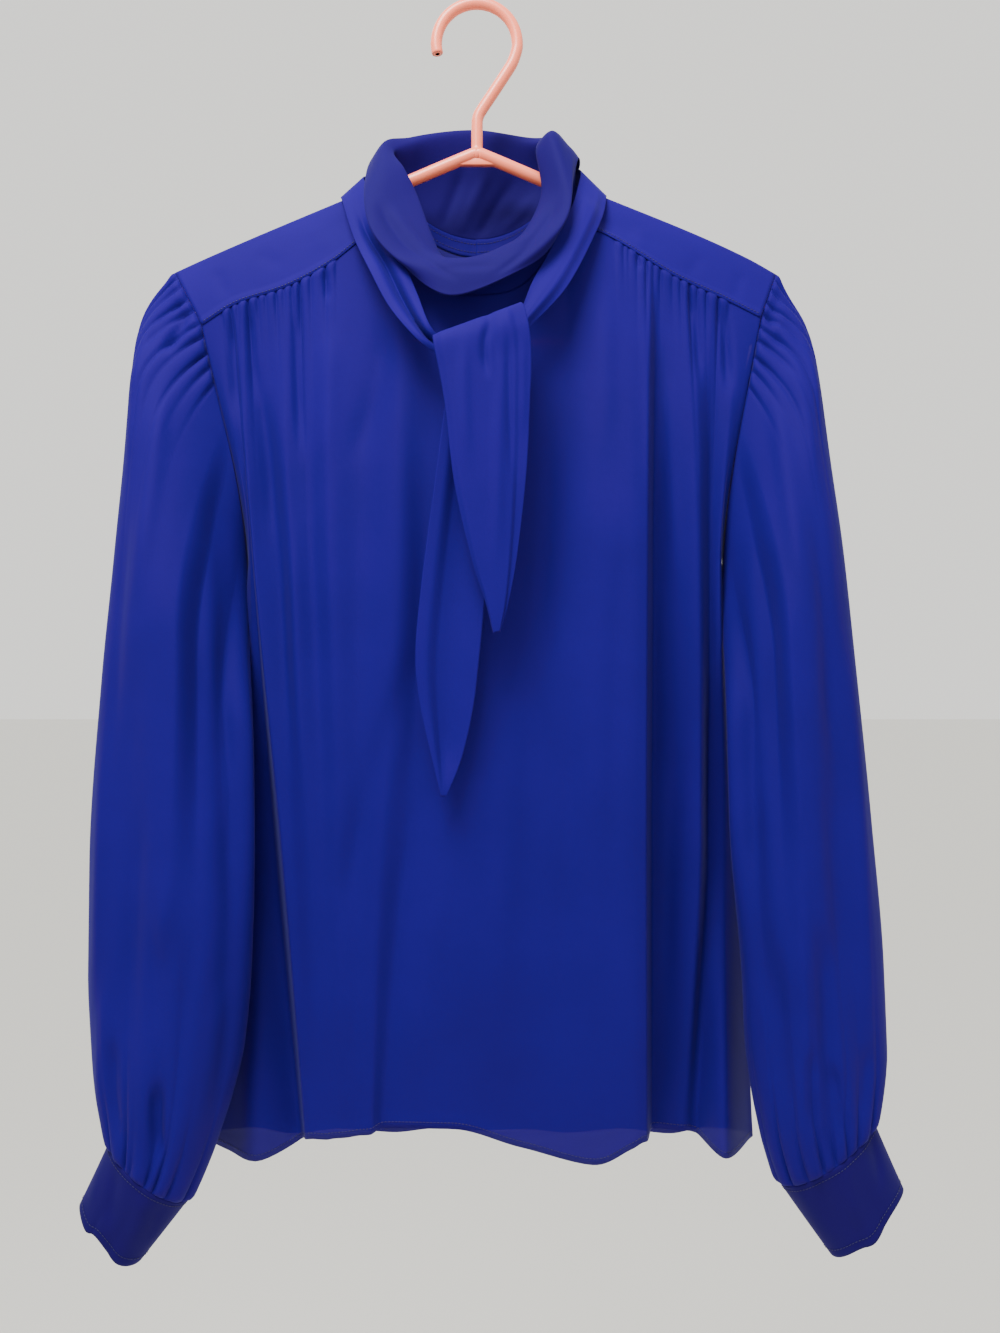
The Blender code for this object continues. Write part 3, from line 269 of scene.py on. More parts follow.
# Sections of the sleeves at heights: outer edge, inner edge, middle and half of the depth
Ring = namedtuple("Ring", "z outer inner y half")
SLEEVE_LEFT = (
    Ring(-179, -204.5, -190, 0, 12),
    Ring(-186, -215, -188, -1, 16),
    Ring(-196, -222.5, -186, -2, 20),
    Ring(-212, -227, -183, -3, 24),
    Ring(-235, -229.6, -177, -6, 28),
    Ring(-304, -233, -165, -15, 31),
    Ring(-380, -238, -155, -23, 32),
    Ring(-456, -244, -147.5, -28, 32),
    Ring(-573, -250, -144.5, -33, 33),
    Ring(-640, -250, -146, -35, 34),
    Ring(-690, -247, -150, -37, 35),
    Ring(-722, -243, -157, -40, 33),
    Ring(-747, -238, -165, -43, 30),
    Ring(-790, -228, -181, -45, 27),
)
SLEEVE_RIGHT = (
    Ring(-180, 202.5, 192, 0, 12),
    Ring(-188, 209, 190, -1, 16),
    Ring(-197, 213.5, 188, -2, 20),
    Ring(-219, 222.6, 184, -4, 25),
    Ring(-256, 229.2, 180, -8, 29),
    Ring(-313, 234.6, 170.5, -16, 31),
    Ring(-373, 240.9, 165.5, -23, 32),
    Ring(-434, 246, 163.5, -28, 32),
    Ring(-548, 256, 165, -33, 33),
    Ring(-640, 263, 172.5, -35, 34),
    Ring(-690, 264, 175, -37, 35),
    Ring(-718, 262, 178, -40, 33),
    Ring(-745, 257, 183, -43, 30),
    Ring(-785, 248, 195, -45, 27),
)
# Long folds of a sleeve: angle in degrees at the top and bottom, heights, depth and width
Fold = namedtuple("Fold", "angle_top angle_end z_top z_end depth width")
SLEEVE_FOLDS_LEFT = (
    Fold(62, 70, -420, -790, 4, 16),
    Fold(150, 140, -520, -780, 4, 14),
    Fold(92, 98, -600, -800, 5, 9),
    Fold(230, 236, -300, -740, 6, 16),
    Fold(300, 296, -360, -760, 6, 16),
)
SLEEVE_FOLDS_RIGHT = (
    Fold(60, 68, -400, -785, 4, 16),
    Fold(148, 140, -510, -780, 4, 14),
    Fold(90, 96, -600, -795, 5, 9),
    Fold(232, 238, -300, -740, 6, 16),
    Fold(302, 298, -360, -760, 6, 16),
)
RECESS_DEPTH = 15.0
RECESS_EDGE = 98.0
RECESS_TURN = 20.0
RECESS_END = 180.0
RECESS_BACK = 30.0
TUBE_START_CAP = 0.09
TUBE_START_UNDER = 0.22
UNDERARM_TURN = 0.3
UNDERARM_CLEAR = -1.5
UNDERARM_CLEAR_Z = -412.0
UNDERARM_CLEAR_WIDTH = 34.0
# Cuffs: the outer and inner edge of the seam and of the open end, the depth's middle and halves
Cuff = namedtuple("Cuff", "seam_outer seam_inner end_outer end_inner y seam_half end_half")
CUFF_LEFT = Cuff((-232, -747), (-183, -786), (-252, -791), (-212.5, -824.5), -45, 25, 18)
CUFF_RIGHT = Cuff((253, -735), (194.5, -776), (272.5, -781), (226.5, -822), -45, 25, 18)
CUFF_WAVE = 2.4
# Collar, by stations round the neck from the centre back to the left. Angle in degrees, then the
# inside, the crest of the roll, the face that leads out, the rim and the free lower edge
Station = namedtuple("Station", "angle inside crest face rim lower")
COLLAR = (
    Station(0, (0, 28, -110), (0, 21, -75), (0, 25, -71.5), (0, 31, -80), (0, 36, -110)),
    Station(50, (-45, 19, -104), (-42, 13, -84), (-47, 16, -80), (-54, 22, -90), (-58, 25, -108)),
    Station(86, (-61, 2, -104), (-57, 1, -98), (-64, 1, -94), (-73, 2, -104), (-75, 1, -114)),
    Station(101, (-57, -6, -111), (-50, -9, -112), (-61, -14, -116), (-73, -21, -133), (-69, -22, -139)),
    Station(116, (-53, -9, -121), (-41, -15, -133), (-55, -26, -144), (-68, -37, -159), (-62, -33, -164)),
    Station(138, (-40, -20, -155), (-29, -32, -168), (-40, -41, -175), (-50, -49, -185), (-45, -46, -191)),
    Station(160, (-22, -36, -185), (-20, -41, -184), (-24, -48, -186), (-28, -55, -193.5), (-25, -58, -211)),
    Station(180, (-1, -40, -189), (-4, -45, -186), (-5, -51, -188), (-6, -57, -196), (-9, -60, -214)),
    Station(202, (22, -35, -182), (16, -40, -177), (18, -48, -182), (20, -56, -193), (20, -58, -202)),
    Station(222, (39, -25, -159), (31, -33, -165), (38, -42, -167), (45, -50, -175), (44, -48, -184)),
    Station(242, (52, -11, -125), (43.5, -19, -134), (53, -30, -139), (60, -39, -150), (57, -37, -157)),
    Station(262, (54, -1, -100), (40, -9, -100), (49, -16, -94), (61, -16, -104), (67, -14, -110)),
    Station(285, (55, 8, -98), (46, 3, -90), (53, 2, -85.5), (62, 6, -93), (69.5, 9, -105)),
    Station(320, (40, 24, -106), (34, 17, -83), (39, 19, -79), (45, 26, -87), (49, 29, -108)),
)
# Tie bands: their lower or outer edge, and their upper or inner edge
Pair = namedtuple("Pair", "outer inner")
TIE_LEFT = (
    Pair((0.4, 45, -144), (0.4, 41, -108)),
    Pair((-38, 43, -142), (-36, 38, -106)),
    Pair((-72, 29, -136), (-67, 26, -104)),
    Pair((-91, 4, -127.5), (-76, 2, -113)),
    Pair((-89, -12, -138), (-75, -8, -122)),
    Pair((-80.4, -26, -165), (-66, -23, -153)),
    Pair((-68.2, -44, -192.5), (-49, -40, -182)),
    Pair((-54.4, -53, -219.4), (-37.5, -50, -209)),
    Pair((-37, -60, -241), (-29.5, -59, -231)),
    Pair((-23.0, -56.8, -251), (-23.0, -56.8, -240)),
)
TIE_RIGHT = (
    Pair((-0.4, 46, -144), (-0.4, 42, -108)),
    Pair((38, 42, -142), (35, 37, -106)),
    Pair((68, 29, -137), (62, 27, -104)),
    Pair((86, 5, -128), (67, 4, -108)),
    Pair((87, -7, -131), (70, -5, -113)),
    Pair((85, -15, -143), (67, -16, -129)),
    Pair((80, -24, -158), (62, -26, -146)),
    Pair((66, -39, -190), (46, -40, -182)),
    Pair((53, -49, -212), (36, -50, -203)),
    Pair((29.4, -57.2, -238), (28.9, -56.8, -223)),
)
TIE_SLIT = 6.0
KNOT_Y = -56.0
# Tails: left edge, right edge and their depth
TAIL_FRONT = (
    Pair((-17, -62.4, -248), (19, -62.2, -233)),
    Pair((-25, -68, -241.5), (28.5, -67.5, -221.5)),
    Pair((-25.5, -72.5, -247), (33, -72.5, -234)),
    Pair((-22, -73, -264), (35, -71, -254)),
    Pair((-18, -73, -288), (34, -70, -286)),
    Pair((-12.5, -72, -334), (32, -69, -326)),
    Pair((-2, -71, -380), (27, -68, -372)),
    Pair((7, -70, -408), (21.5, -68, -404)),
    Pair((11.5, -69, -426), (16, -68, -425)),
)
TAIL_REAR = (
    Pair((-15, -58.2, -253.8), (12, -58.4, -244.5)),
    Pair((-20, -58, -290), (12, -57, -290)),
    Pair((-26, -58, -335), (11, -56, -335)),
    Pair((-33, -58, -388), (7, -56, -392)),
    Pair((-37.5, -58, -436), (3, -56, -436)),
    Pair((-35.5, -57, -466), (-1.5, -55, -474)),
    Pair((-29, -56, -498), (-9, -54, -506)),
    Pair((-21.5, -55, -529), (-18.5, -54, -529)),
)

# A tuck of the gathers: its place along the seam, its depth and how far its fold runs
Tuck = namedtuple("Tuck", "at depth length unit")

# Place, depth and length of each tuck of the front under the yokes, by x
GATHERS_LEFT_ROWS = (
    (-170.5, 0.7, 12),
    (-164.4, 1.6, 30),
    (-159.8, 1.0, 9),
    (-153.1, 2.1, 46),
    (-146.4, 1.3, 13),
    (-141.0, 1.1, 8),
    (-134.3, 1.7, 20),
    (-129.0, 1.1, 9),
    (-123.6, 1.5, 15),
    (-118.3, 2.3, 55),
    (-110.9, 1.2, 10),
    (-100.9, 1.7, 22),
    (-93.5, 0.8, 10),
)
GATHERS_RIGHT_ROWS = (
    (92.0, 0.8, 16),
    (97.9, 1.1, 10),
    (101.3, 1.0, 8),
    (107.3, 1.4, 14),
    (113.3, 2.0, 40),
    (118.0, 1.3, 12),
    (122.7, 1.7, 20),
    (130.7, 1.2, 9),
    (136.1, 1.5, 18),
    (142.1, 2.3, 50),
    (147.5, 1.1, 9),
    (153.5, 1.6, 16),
    (161.5, 2.0, 44),
    (168.5, 0.8, 14),
)
BACK_GATHERS_LEFT_ROWS = (
    (-166.0, 0.8, 14),
    (-157.5, 1.4, 34),
    (-150.0, 1.0, 16),
    (-140.5, 1.7, 52),
    (-133.0, 1.1, 18),
    (-124.0, 1.4, 30),
    (-115.5, 0.9, 14),
    (-105.0, 1.6, 44),
    (-97.0, 0.9, 16),
)
BACK_GATHERS_RIGHT_ROWS = (
    (95.0, 0.9, 16),
    (103.5, 1.5, 42),
    (112.0, 1.0, 16),
    (119.5, 1.3, 28),
    (130.0, 1.7, 54),
    (137.0, 0.9, 14),
    (147.5, 1.4, 32),
    (155.0, 1.0, 18),
    (166.0, 0.8, 14),
)

# Tucks of a sleeve's cap, by turns from the shoulder, the front positive
CAP_ROWS = (
    (-0.215, 0.8, 12),
    (-0.188, 1.1, 20),
    (-0.160, 0.9, 14),
    (-0.131, 1.4, 34),
    (-0.105, 1.0, 16),
    (-0.078, 1.3, 26),
    (-0.052, 0.9, 14),
    (-0.026, 1.2, 22),
    (-0.004, 0.9, 16),
    (0.020, 1.8, 30),
    (0.041, 1.2, 15),
    (0.066, 2.3, 42),
    (0.086, 1.4, 14),
    (0.112, 2.6, 54),
    (0.133, 1.5, 17),
    (0.160, 2.2, 38),
    (0.182, 1.3, 15),
    (0.208, 1.2, 20),
)

# Tucks above a cuff's seam, by degrees from its outer side round the front
CUFF_LEFT_ROWS = (
    (-17, 1.2, 18),
    (20, 1.4, 22),
    (44, 1.8, 30),
    (67, 2.2, 52),
    (76, 1.2, 12),
    (97, 1.5, 20),
    (108, 2.2, 46),
    (125, 1.4, 20),
    (154, 1.8, 30),
    (184, 1.3, 18),
    (208, 1.8, 34),
    (236, 1.2, 16),
    (262, 2.0, 44),
    (290, 1.3, 20),
    (318, 1.7, 30),
    (343, 1.2, 18),
    (380, 1.4, 22),
)
CUFF_RIGHT_ROWS = (
    (-16, 1.2, 20),
    (20, 1.5, 26),
    (44, 2.0, 44),
    (63, 1.4, 20),
    (76, 1.9, 40),
    (90, 1.3, 18),
    (104, 2.2, 60),
    (123, 1.6, 26),
    (145, 2.2, 50),
    (168, 1.5, 24),
    (195, 1.3, 18),
    (222, 1.8, 36),
    (246, 1.2, 16),
    (270, 2.0, 44),
    (297, 1.3, 20),
    (322, 1.6, 28),
    (344, 1.2, 20),
    (380, 1.5, 26),
)

# A soft crease seen from the front: its two ends, its height (a trough is below 0), width and bow
Crease = namedtuple("Crease", "x_top z_top x_end z_end height width bow")
FRONT_CREASES = (
    Crease(-151, -200, -146, -275, -3.4, 4.0, 1.0),
    Crease(-151, -240, -134, -372, -3.4, 6.0, -3.0),
    Crease(-119, -188, -115, -318, -3.4, 3.6, 2.0),
    Crease(-164.5, -206, -158, -290, -3.4, 3.6, 1.0),
    Crease(-158, -300, -150, -420, 1.8, 5.0, 0.0),
    Crease(-101, -181, -98, -206, -1.4, 2.6, 0.0),
    Crease(-62, -212, -80, -320, -3.6, 9.0, -6.0),
    Crease(-136, -250, -128, -392, 2.0, 7.0, -2.0),
    Crease(-96, -215, -101, -330, 1.4, 7.0, 0.0),
    Crease(-119, -330, -114, -560, 1.8, 7.0, 2.0),
    Crease(-104, -360, -96, -610, -1.8, 8.0, -2.0),
    Crease(-38, -424, -93, -640, -2.6, 9.0, 4.0),
    Crease(-38, -520, -63, -738, -2.4, 8.0, 3.0),
    Crease(-20, -560, -42, -742, 1.6, 8.0, 2.0),
    Crease(-130, -470, -112, -735, -2.0, 6.0, -3.0),
    Crease(50, -270, 40, -478, -2.6, 9.0, 2.0),
    Crease(24, -440, 14, -700, 1.8, 11.0, 0.0),
    Crease(62, -440, 52, -720, -1.6, 8.0, -2.0),
    Crease(86, -190, 83, -330, 1.2, 6.0, 0.0),
    Crease(96, -330, 88, -620, -1.5, 7.0, 2.0),
    Crease(116, -184, 113, -360, 2.2, 4.4, 0.0),
    Crease(107, -171, 110, -184, -1.2, 2.6, 0.0),
    Crease(142, -189, 148, -265, -3.4, 3.6, -1.5),
    Crease(163, -198, 170, -272, -3.2, 3.6, 0.0),
    Crease(129, -240, 133, -410, 1.8, 5.0, 1.0),
    Crease(150, -300, 155, -470, -1.8, 5.0, 0.0),
    Crease(136, -470, 128, -720, -2.0, 6.0, 2.0),
    Crease(152, -520, 158, -735, 1.6, 6.0, 0.0),
    Crease(-160, -560, -152, -745, -1.8, 6.0, 0.0),
    Crease(2, -250, -6, -410, 1.4, 12.0, 0.0),
)
BACK_CREASES = (
    Crease(-140, -200, -132, -330, -2.4, 6.0, 2.0),
    Crease(-108, -180, -104, -300, -2.0, 5.0, 0.0),
    Crease(-84, -250, -74, -470, -2.6, 9.0, -3.0),
    Crease(-52, -330, -60, -590, 2.0, 9.0, 2.0),
    Crease(-118, -380, -110, -640, -2.0, 8.0, 3.0),
    Crease(-146, -420, -150, -700, 2.0, 6.0, 0.0),
    Crease(-22, -260, -34, -520, -2.2, 8.0, 3.0),
    Crease(-14, -520, -6, -740, 1.8, 9.0, 0.0),
    Crease(20, -300, 30, -560, -2.2, 9.0, -3.0),
    Crease(48, -220, 52, -420, 1.8, 8.0, 0.0),
    Crease(76, -420, 66, -690, -2.2, 9.0, 2.0),
    Crease(104, -184, 100, -330, -2.2, 5.0, 0.0),
    Crease(132, -205, 126, -360, -2.2, 6.0, -2.0),
    Crease(118, -430, 124, -700, 2.0, 8.0, 0.0),
    Crease(146, -380, 150, -660, -2.2, 7.0, 2.0),
    Crease(0, -430, 4, -600, 1.2, 7.0, 0.0),
)
YOKE_CREASES = (
    Crease(-150, -168, -128, -180, -0.5, 5.0, 0.0),
    Crease(-110, -148, -102, -172, 0.5, 6.0, 0.0),
    Crease(-176, -178, -166, -202, -0.6, 4.0, 0.0),
    Crease(112, -150, 108, -170, 0.5, 6.0, 0.0),
    Crease(152, -168, 140, -188, -0.5, 5.0, 0.0),
    Crease(178, -180, 172, -204, -0.6, 4.0, 0.0),
)
SLEEVE_CREASES_LEFT = (
    Crease(-189, -206, -207, -244, -4.5, 4.0, 2.0),
    Crease(-207, -186, -228, -300, 2.4, 3.5, 5.0),
    Crease(-196, -196, -203, -214, -2.2, 2.5, 0.0),
    Crease(-214, -226, -226, -330, 2.2, 6.0, 3.0),
    Crease(-204, -250, -214, -420, 2.6, 6.0, 0.0),
    Crease(-222, -320, -231, -540, -2.6, 6.0, 2.0),
    Crease(-181, -330, -172, -520, 2.4, 6.0, -3.0),
    Crease(-166, -380, -158, -600, -2.2, 6.0, 0.0),
    Crease(-236, -470, -240, -690, 2.0, 5.0, 0.0),
    Crease(-208, -520, -214, -700, -2.8, 7.0, 3.0),
    Crease(-192, -560, -196, -730, 2.4, 6.0, 0.0),
    Crease(-176, -600, -190, -752, -2.6, 6.0, -2.0),
    Crease(-160, -640, -176, -756, 2.2, 5.0, -2.0),
    Crease(-225, -674, -217, -750, -4.0, 4.5, 4.0),
    Crease(-196, -700, -191, -762, -3.2, 4.0, 3.0),
    Crease(-232, -640, -234, -735, 2.2, 5.0, 0.0),
)
SLEEVE_CREASES_RIGHT = (
    Crease(203, -189, 190, -226, -4.5, 4.0, -2.0),
    Crease(205, -190, 226, -300, 2.0, 3.5, -5.0),
    Crease(193, -205, 203, -240, -2.2, 3.0, 0.0),
    Crease(206, -228, 219, -340, 2.2, 6.0, -3.0),
    Crease(197, -250, 207, -420, 2.6, 6.0, 0.0),
    Crease(214, -320, 226, -540, -2.6, 6.0, -2.0),
    Crease(184, -340, 182, -520, 2.4, 6.0, 2.0),
    Crease(176, -390, 178, -610, -2.2, 6.0, 0.0),
    Crease(238, -420, 250, -690, 2.0, 5.0, 0.0),
    Crease(219, -500, 228, -700, -2.8, 7.0, -3.0),
    Crease(202, -560, 208, -730, 2.4, 6.0, 0.0),
    Crease(188, -610, 198, -762, -3.2, 5.0, 2.0),
    Crease(172, -690, 184, -758, -2.6, 4.0, 0.0),
    Crease(207, -680, 208, -744, -3.0, 4.0, 0.0),
    Crease(219, -690, 227, -745, -3.2, 4.0, -2.0),
    Crease(245, -680, 240, -735, -2.4, 4.5, 0.0),
    Crease(181, -640, 192, -752, 2.2, 4.0, 0.0),
)
CUFF_CREASES_LEFT = (
    Crease(-222, -756, -228, -800, -1.6, 4.0, 0.0),
    Crease(-204, -770, -214, -815, 1.4, 5.0, 0.0),
    Crease(-194, -778, -208, -812, -1.2, 3.5, 0.0),
    Crease(-236, -752, -243, -790, 1.0, 4.0, 0.0),
)
CUFF_CREASES_RIGHT = (
    Crease(245, -734, 254, -775, -1.8, 3.5, -1.0),
    Crease(226, -748, 240, -800, 1.4, 5.0, 0.0),
    Crease(212, -758, 226, -806, -1.2, 4.0, 0.0),
    Crease(201, -770, 220, -815, 1.2, 4.0, 0.0),
)

# Rise of a cuff's open edge along its width, from the outer side to the inner
Wave = namedtuple("Wave", "at rise")
CUFF_EDGE_LEFT = (Wave(0, 0), Wave(0.2, -3.2), Wave(0.42, 3.0), Wave(0.72, -2.4), Wave(1, 0))
CUFF_EDGE_RIGHT = (Wave(0, 0), Wave(0.25, 2.4), Wave(0.5, -2.6), Wave(0.75, 1.8), Wave(1, 0))

COLLAR_INNER_CREASES = (
    Crease(30, -98, -10, -168, -1.8, 4.0, 3.0),
    Crease(44, -112, -2, -172, 1.4, 4.0, 2.0),
    Crease(12, -92, -20, -160, 1.2, 4.0, 2.0),
    Crease(-8, -92, -30, -150, -1.4, 4.0, 0.0),
)
COLLAR_OUTER_CREASES = (
    Crease(-66, -140, -28, -196, -2.6, 3.6, 4.0),
    Crease(-58, -140, -14, -192, 1.8, 3.6, 4.0),
    Crease(56, -140, 22, -190, -2.6, 3.6, -4.0),
    Crease(46, -142, 12, -186, 1.8, 3.6, -4.0),
    Crease(-44, -176, -8, -206, -1.6, 2.6, 2.0),
    Crease(42, -172, 8, -204, -1.6, 2.6, -2.0),
    Crease(-22, -196, 18, -194, -1.0, 3.0, 0.0),
)
TAIL_CREASES = (
    Crease(9, -232, 9, -272, -2.2, 2.6, 3.0),
    Crease(21, -228, 25, -350, -1.8, 2.8, 1.5),
    Crease(-6, -238, -3, -330, 1.4, 4.0, 2.0),
    Crease(15, -262, 14, -392, 1.4, 4.0, 0.0),
    Crease(29, -238, 30, -310, 1.2, 3.0, 0.0),
)


def ends_and_slopes(keys, values):
    """Slopes that keep each ridge and valley at its own point."""
    step = np.diff(keys)[:, None]
    rise = np.diff(values, axis=0) / step
    slope = np.zeros_like(values)
    before = rise[:-1]
    after = rise[1:]
    heavy = 2 * step[1:] + step[:-1]
    light = step[1:] + 2 * step[:-1]
    same = before * after > 0
    safe_before = np.where(same, before, 1.0)
    safe_after = np.where(same, after, 1.0)
    mean = (heavy + light) / (heavy / safe_before + light / safe_after)
    slope[1:-1] = np.where(same, mean, 0.0)
    slope[0] = rise[0]
    slope[-1] = rise[-1]
    return slope


def smooth(keys, values, at):
    """Values at the given keys, on a smooth curve without overshoot."""
    keys = np.asarray(keys, float)
    values = np.asarray(values, float)
    at = np.atleast_1d(np.asarray(at, float))
    flat = values.reshape(len(keys), -1)
    slope = ends_and_slopes(keys, flat)
    index = np.clip(np.searchsorted(keys, at, side="right") - 1, 0, len(keys) - 2)
    width = (keys[index + 1] - keys[index])[:, None]
    t = (at - keys[index])[:, None] / width
    start = flat[index] * (2 * t**3 - 3 * t**2 + 1) + slope[index] * width * (t**3 - 2 * t**2 + t)
    end = flat[index + 1] * (3 * t**2 - 2 * t**3) + slope[index + 1] * width * (t**3 - t**2)
    return (start + end).reshape((len(at),) + values.shape[1:])


def round_curve(keys, values, at, period=None):
    """Values at the given keys, on a rounder curve that may overshoot a little."""
    keys = np.asarray(keys, float)
    values = np.asarray(values, float)
    at = np.atleast_1d(np.asarray(at, float))
    if period:
        at = np.mod(at, period)
        keys = np.concatenate([keys[-2:] - period, keys, keys[:3] + period])
        values = np.concatenate([values[-2:], values, values[:3]])
    slope = np.gradient(values, keys, axis=0)
    index = np.clip(np.searchsorted(keys, at, side="right") - 1, 0, len(keys) - 2)
    shape = (len(at),) + (1,) * (values.ndim - 1)
    width = (keys[index + 1] - keys[index]).reshape(shape)
    t = (at - keys[index]).reshape(shape) / width
    start = values[index] * (2 * t**3 - 3 * t**2 + 1) + slope[index] * width * (t**3 - 2 * t**2 + t)
    end = values[index + 1] * (3 * t**2 - 2 * t**3) + slope[index + 1] * width * (t**3 - t**2)
    return start + end


def bump(values, width):
    return np.exp(-((values / width) ** 2))


def ease(value):
    t = np.clip(value, 0.0, 1.0)
    return t * t * (3 - 2 * t)


def grid_normals(grid, closed):
    if closed:
        across = np.roll(grid, -1, axis=1) - np.roll(grid, 1, axis=1)
    else:
        across = np.gradient(grid, axis=1)
    along = np.gradient(grid, axis=0)
    normal = np.cross(across, along)
    length = np.linalg.norm(normal, axis=2, keepdims=True)
    return normal / np.maximum(length, 1e-9)


def neckline(angles):
    """Points of the neck seam, by the angle from the centre back to the left side."""
    turn = np.radians(np.atleast_1d(angles))
    side = np.abs(np.sin(turn))
    behind = np.cos(turn) > 0
    x = -NECK_HALF_WIDTH * np.sin(turn)
    y = np.where(behind, NECK_BACK_Y, -NECK_FRONT_Y) * np.cos(turn)
    back_z = NECK_BACK_Z + (NECK_SIDE_Z - NECK_BACK_Z) * side**2
    front_z = NECK_FRONT_Z + (NECK_SIDE_Z - NECK_FRONT_Z) * side**3
    return np.stack([x, y, np.where(behind, back_z, front_z)], axis=-1)


def top_edge(xs, seam_left, seam_right, at_front):
    """Top edge of the front or back at each x: yoke seam, neckline, yoke seam."""
    out = []
    for x in xs:
        if x <= -NECK_CORNER_X + 0.001:
            seam = seam_left
        elif x >= NECK_CORNER_X - 0.001:
            seam = seam_right
        else:
            turn = math.degrees(math.asin(-x / NECK_HALF_WIDTH))
            out.append(neckline(180 - turn if at_front else turn)[0])
            continue
        y, z = smooth([p.x for p in seam], [(p.y, p.z) for p in seam], x)[0]
        out.append(np.array([x, y, z]))
    return np.array(out)


def panel(lines, top, xs, rows):
    """A body panel: through its folds across, and through four heights down."""
    keys = [line.top for line in lines]
    table = [[l.chest_x, l.chest_y, l.waist_x, l.waist_y, l.hem_x, l.hem_y, l.hem_z] for l in lines]
    at = smooth(keys, table, xs)
    chest = np.stack([at[:, 0], at[:, 1], np.full(len(xs), CHEST_Z)], axis=-1)
    waist = np.stack([at[:, 2], at[:, 3], np.full(len(xs), WAIST_Z)], axis=-1)
    hem = at[:, 4:7]
    rows = np.asarray(rows, float)
    grid = smooth(LEVELS, np.stack([top, chest, waist, hem]), rows)
    from_side = np.minimum(xs - keys[0], keys[-1] - xs)
    near_side = np.clip(1 - from_side / SIDE_ZONE, 0, 1)
    shared = smooth(LEVELS[1:], np.stack([chest, waist, hem]), np.maximum(rows, LEVELS[1]))
    weight = np.where(rows >= LEVELS[1], 1.0, 0.0)[:, None, None] * near_side[None, :, None]
    grid = grid * (1 - weight) + shared * weight
    down = np.clip(rows / LEVELS[1], 0, 1)
    bulge = ARMHOLE_BULGE * np.sin(np.pi * down**1.6)
    facing = np.sign(top[0, 1])
    side_y = facing * ARMHOLE_TOP_Y * (1 - down)
    near_wall = np.clip(1 - np.abs(grid[:, :, 1] - side_y[:, None]) / ARMHOLE_WALL, 0, 1)
    near_wall = near_wall * np.clip(2 - 2 * from_side / BULGE_ZONE, 0, 1)[None, :]
    grid[:, :, 1] += facing * bulge[:, None] * near_wall
    return grid


def front_grid(xs, rows):
    xs = np.asarray(xs, float)
    top = top_edge(xs, YOKE_SEAM_LEFT, YOKE_SEAM_RIGHT, True)
    return panel(FRONT_LINES, top, xs, rows)


def back_grid(xs, rows):
    xs = np.asarray(xs, float)
    top = top_edge(xs, BACK_SEAM_LEFT, BACK_SEAM_RIGHT, False)
    return panel(BACK_LINES, top, xs, rows)


def yoke_grid(side, across, over):
    """A yoke: across from neck to armhole, and over from its front seam to its back seam."""
    sign = -1 if side == "left" else 1
    front_end = -184 if sign < 0 else 190
    back_end = -186 if sign < 0 else 190
    corner = sign * NECK_CORNER_X
    across = np.asarray(across, float)
    front = top_edge(corner + (front_end - corner) * across, YOKE_SEAM_LEFT, YOKE_SEAM_RIGHT, True)
    back = top_edge(corner + (back_end - corner) * across, BACK_SEAM_LEFT, BACK_SEAM_RIGHT, False)
    shoulder = SHOULDER_LEFT if sign < 0 else SHOULDER_RIGHT
    start, end = shoulder[0].x, shoulder[-1].x
    xs = start + (end - start) * across
    order = sorted(shoulder, key=lambda p: p.x)
    heights = smooth([p.x for p in order], [p.z for p in order], xs)
    top = np.stack([xs, np.zeros_like(xs), heights], axis=-1)

    def between(edge, depth, drop):
        share = drop / (top[:, 2] - edge[:, 2])
        x = top[:, 0] + (edge[:, 0] - top[:, 0]) * share
        return np.stack([x, np.full_like(x, depth), top[:, 2] - drop], axis=-1)

    def over_rod(edge, sign, degrees):
        angle = math.radians(degrees)
        return between(edge, sign * ROD_COVER_Y * math.sin(angle), ROD_COVER_Z * (1 - math.cos(angle)))

    points = [
        front,
        between(front, -9.5, 18.0),
        between(front, -6.9, 8.5),
        over_rod(front, -1, 75),
        over_rod(front, -1, 50),
        over_rod(front, -1, 25),
        top,
        over_rod(back, 1, 25),
        over_rod(back, 1, 50),
        between(back, 6.6, 5.5),
        back,
    ]
    keys = (0, 0.27, 0.38, 0.42, 0.45, 0.475, 0.5, 0.525, 0.55, 0.6, 1)
    grid = smooth(keys, np.stack(points), over)
    near = np.clip(1 - across / 0.12, 0, 1)[:, None]
    for row, share in enumerate(over):
        z = grid[row, 0, 2]
        depth, deep_y = (NECK_FRONT_Z, NECK_FRONT_Y) if share < 0.5 else (NECK_BACK_Z, NECK_BACK_Y)
        power = 3 if share < 0.5 else 2
        wide = min(max((z - depth) / (NECK_SIDE_Z - depth), 0), 1) ** (1 / power)
        edge = np.array([sign * NECK_HALF_WIDTH * wide, deep_y * math.sqrt(1 - wide**2), z])
        grid[row] += (edge - grid[row, 0]) * near
    return grid


def by_length(path, at):
    """Points at shares of a path's length."""
    step = np.linalg.norm(np.diff(path, axis=0), axis=1)
    length = np.concatenate([[0], np.cumsum(step)])
    share = np.asarray(at) * length[-1]
    return np.stack([np.interp(share, length, path[:, k]) for k in range(3)], axis=-1)


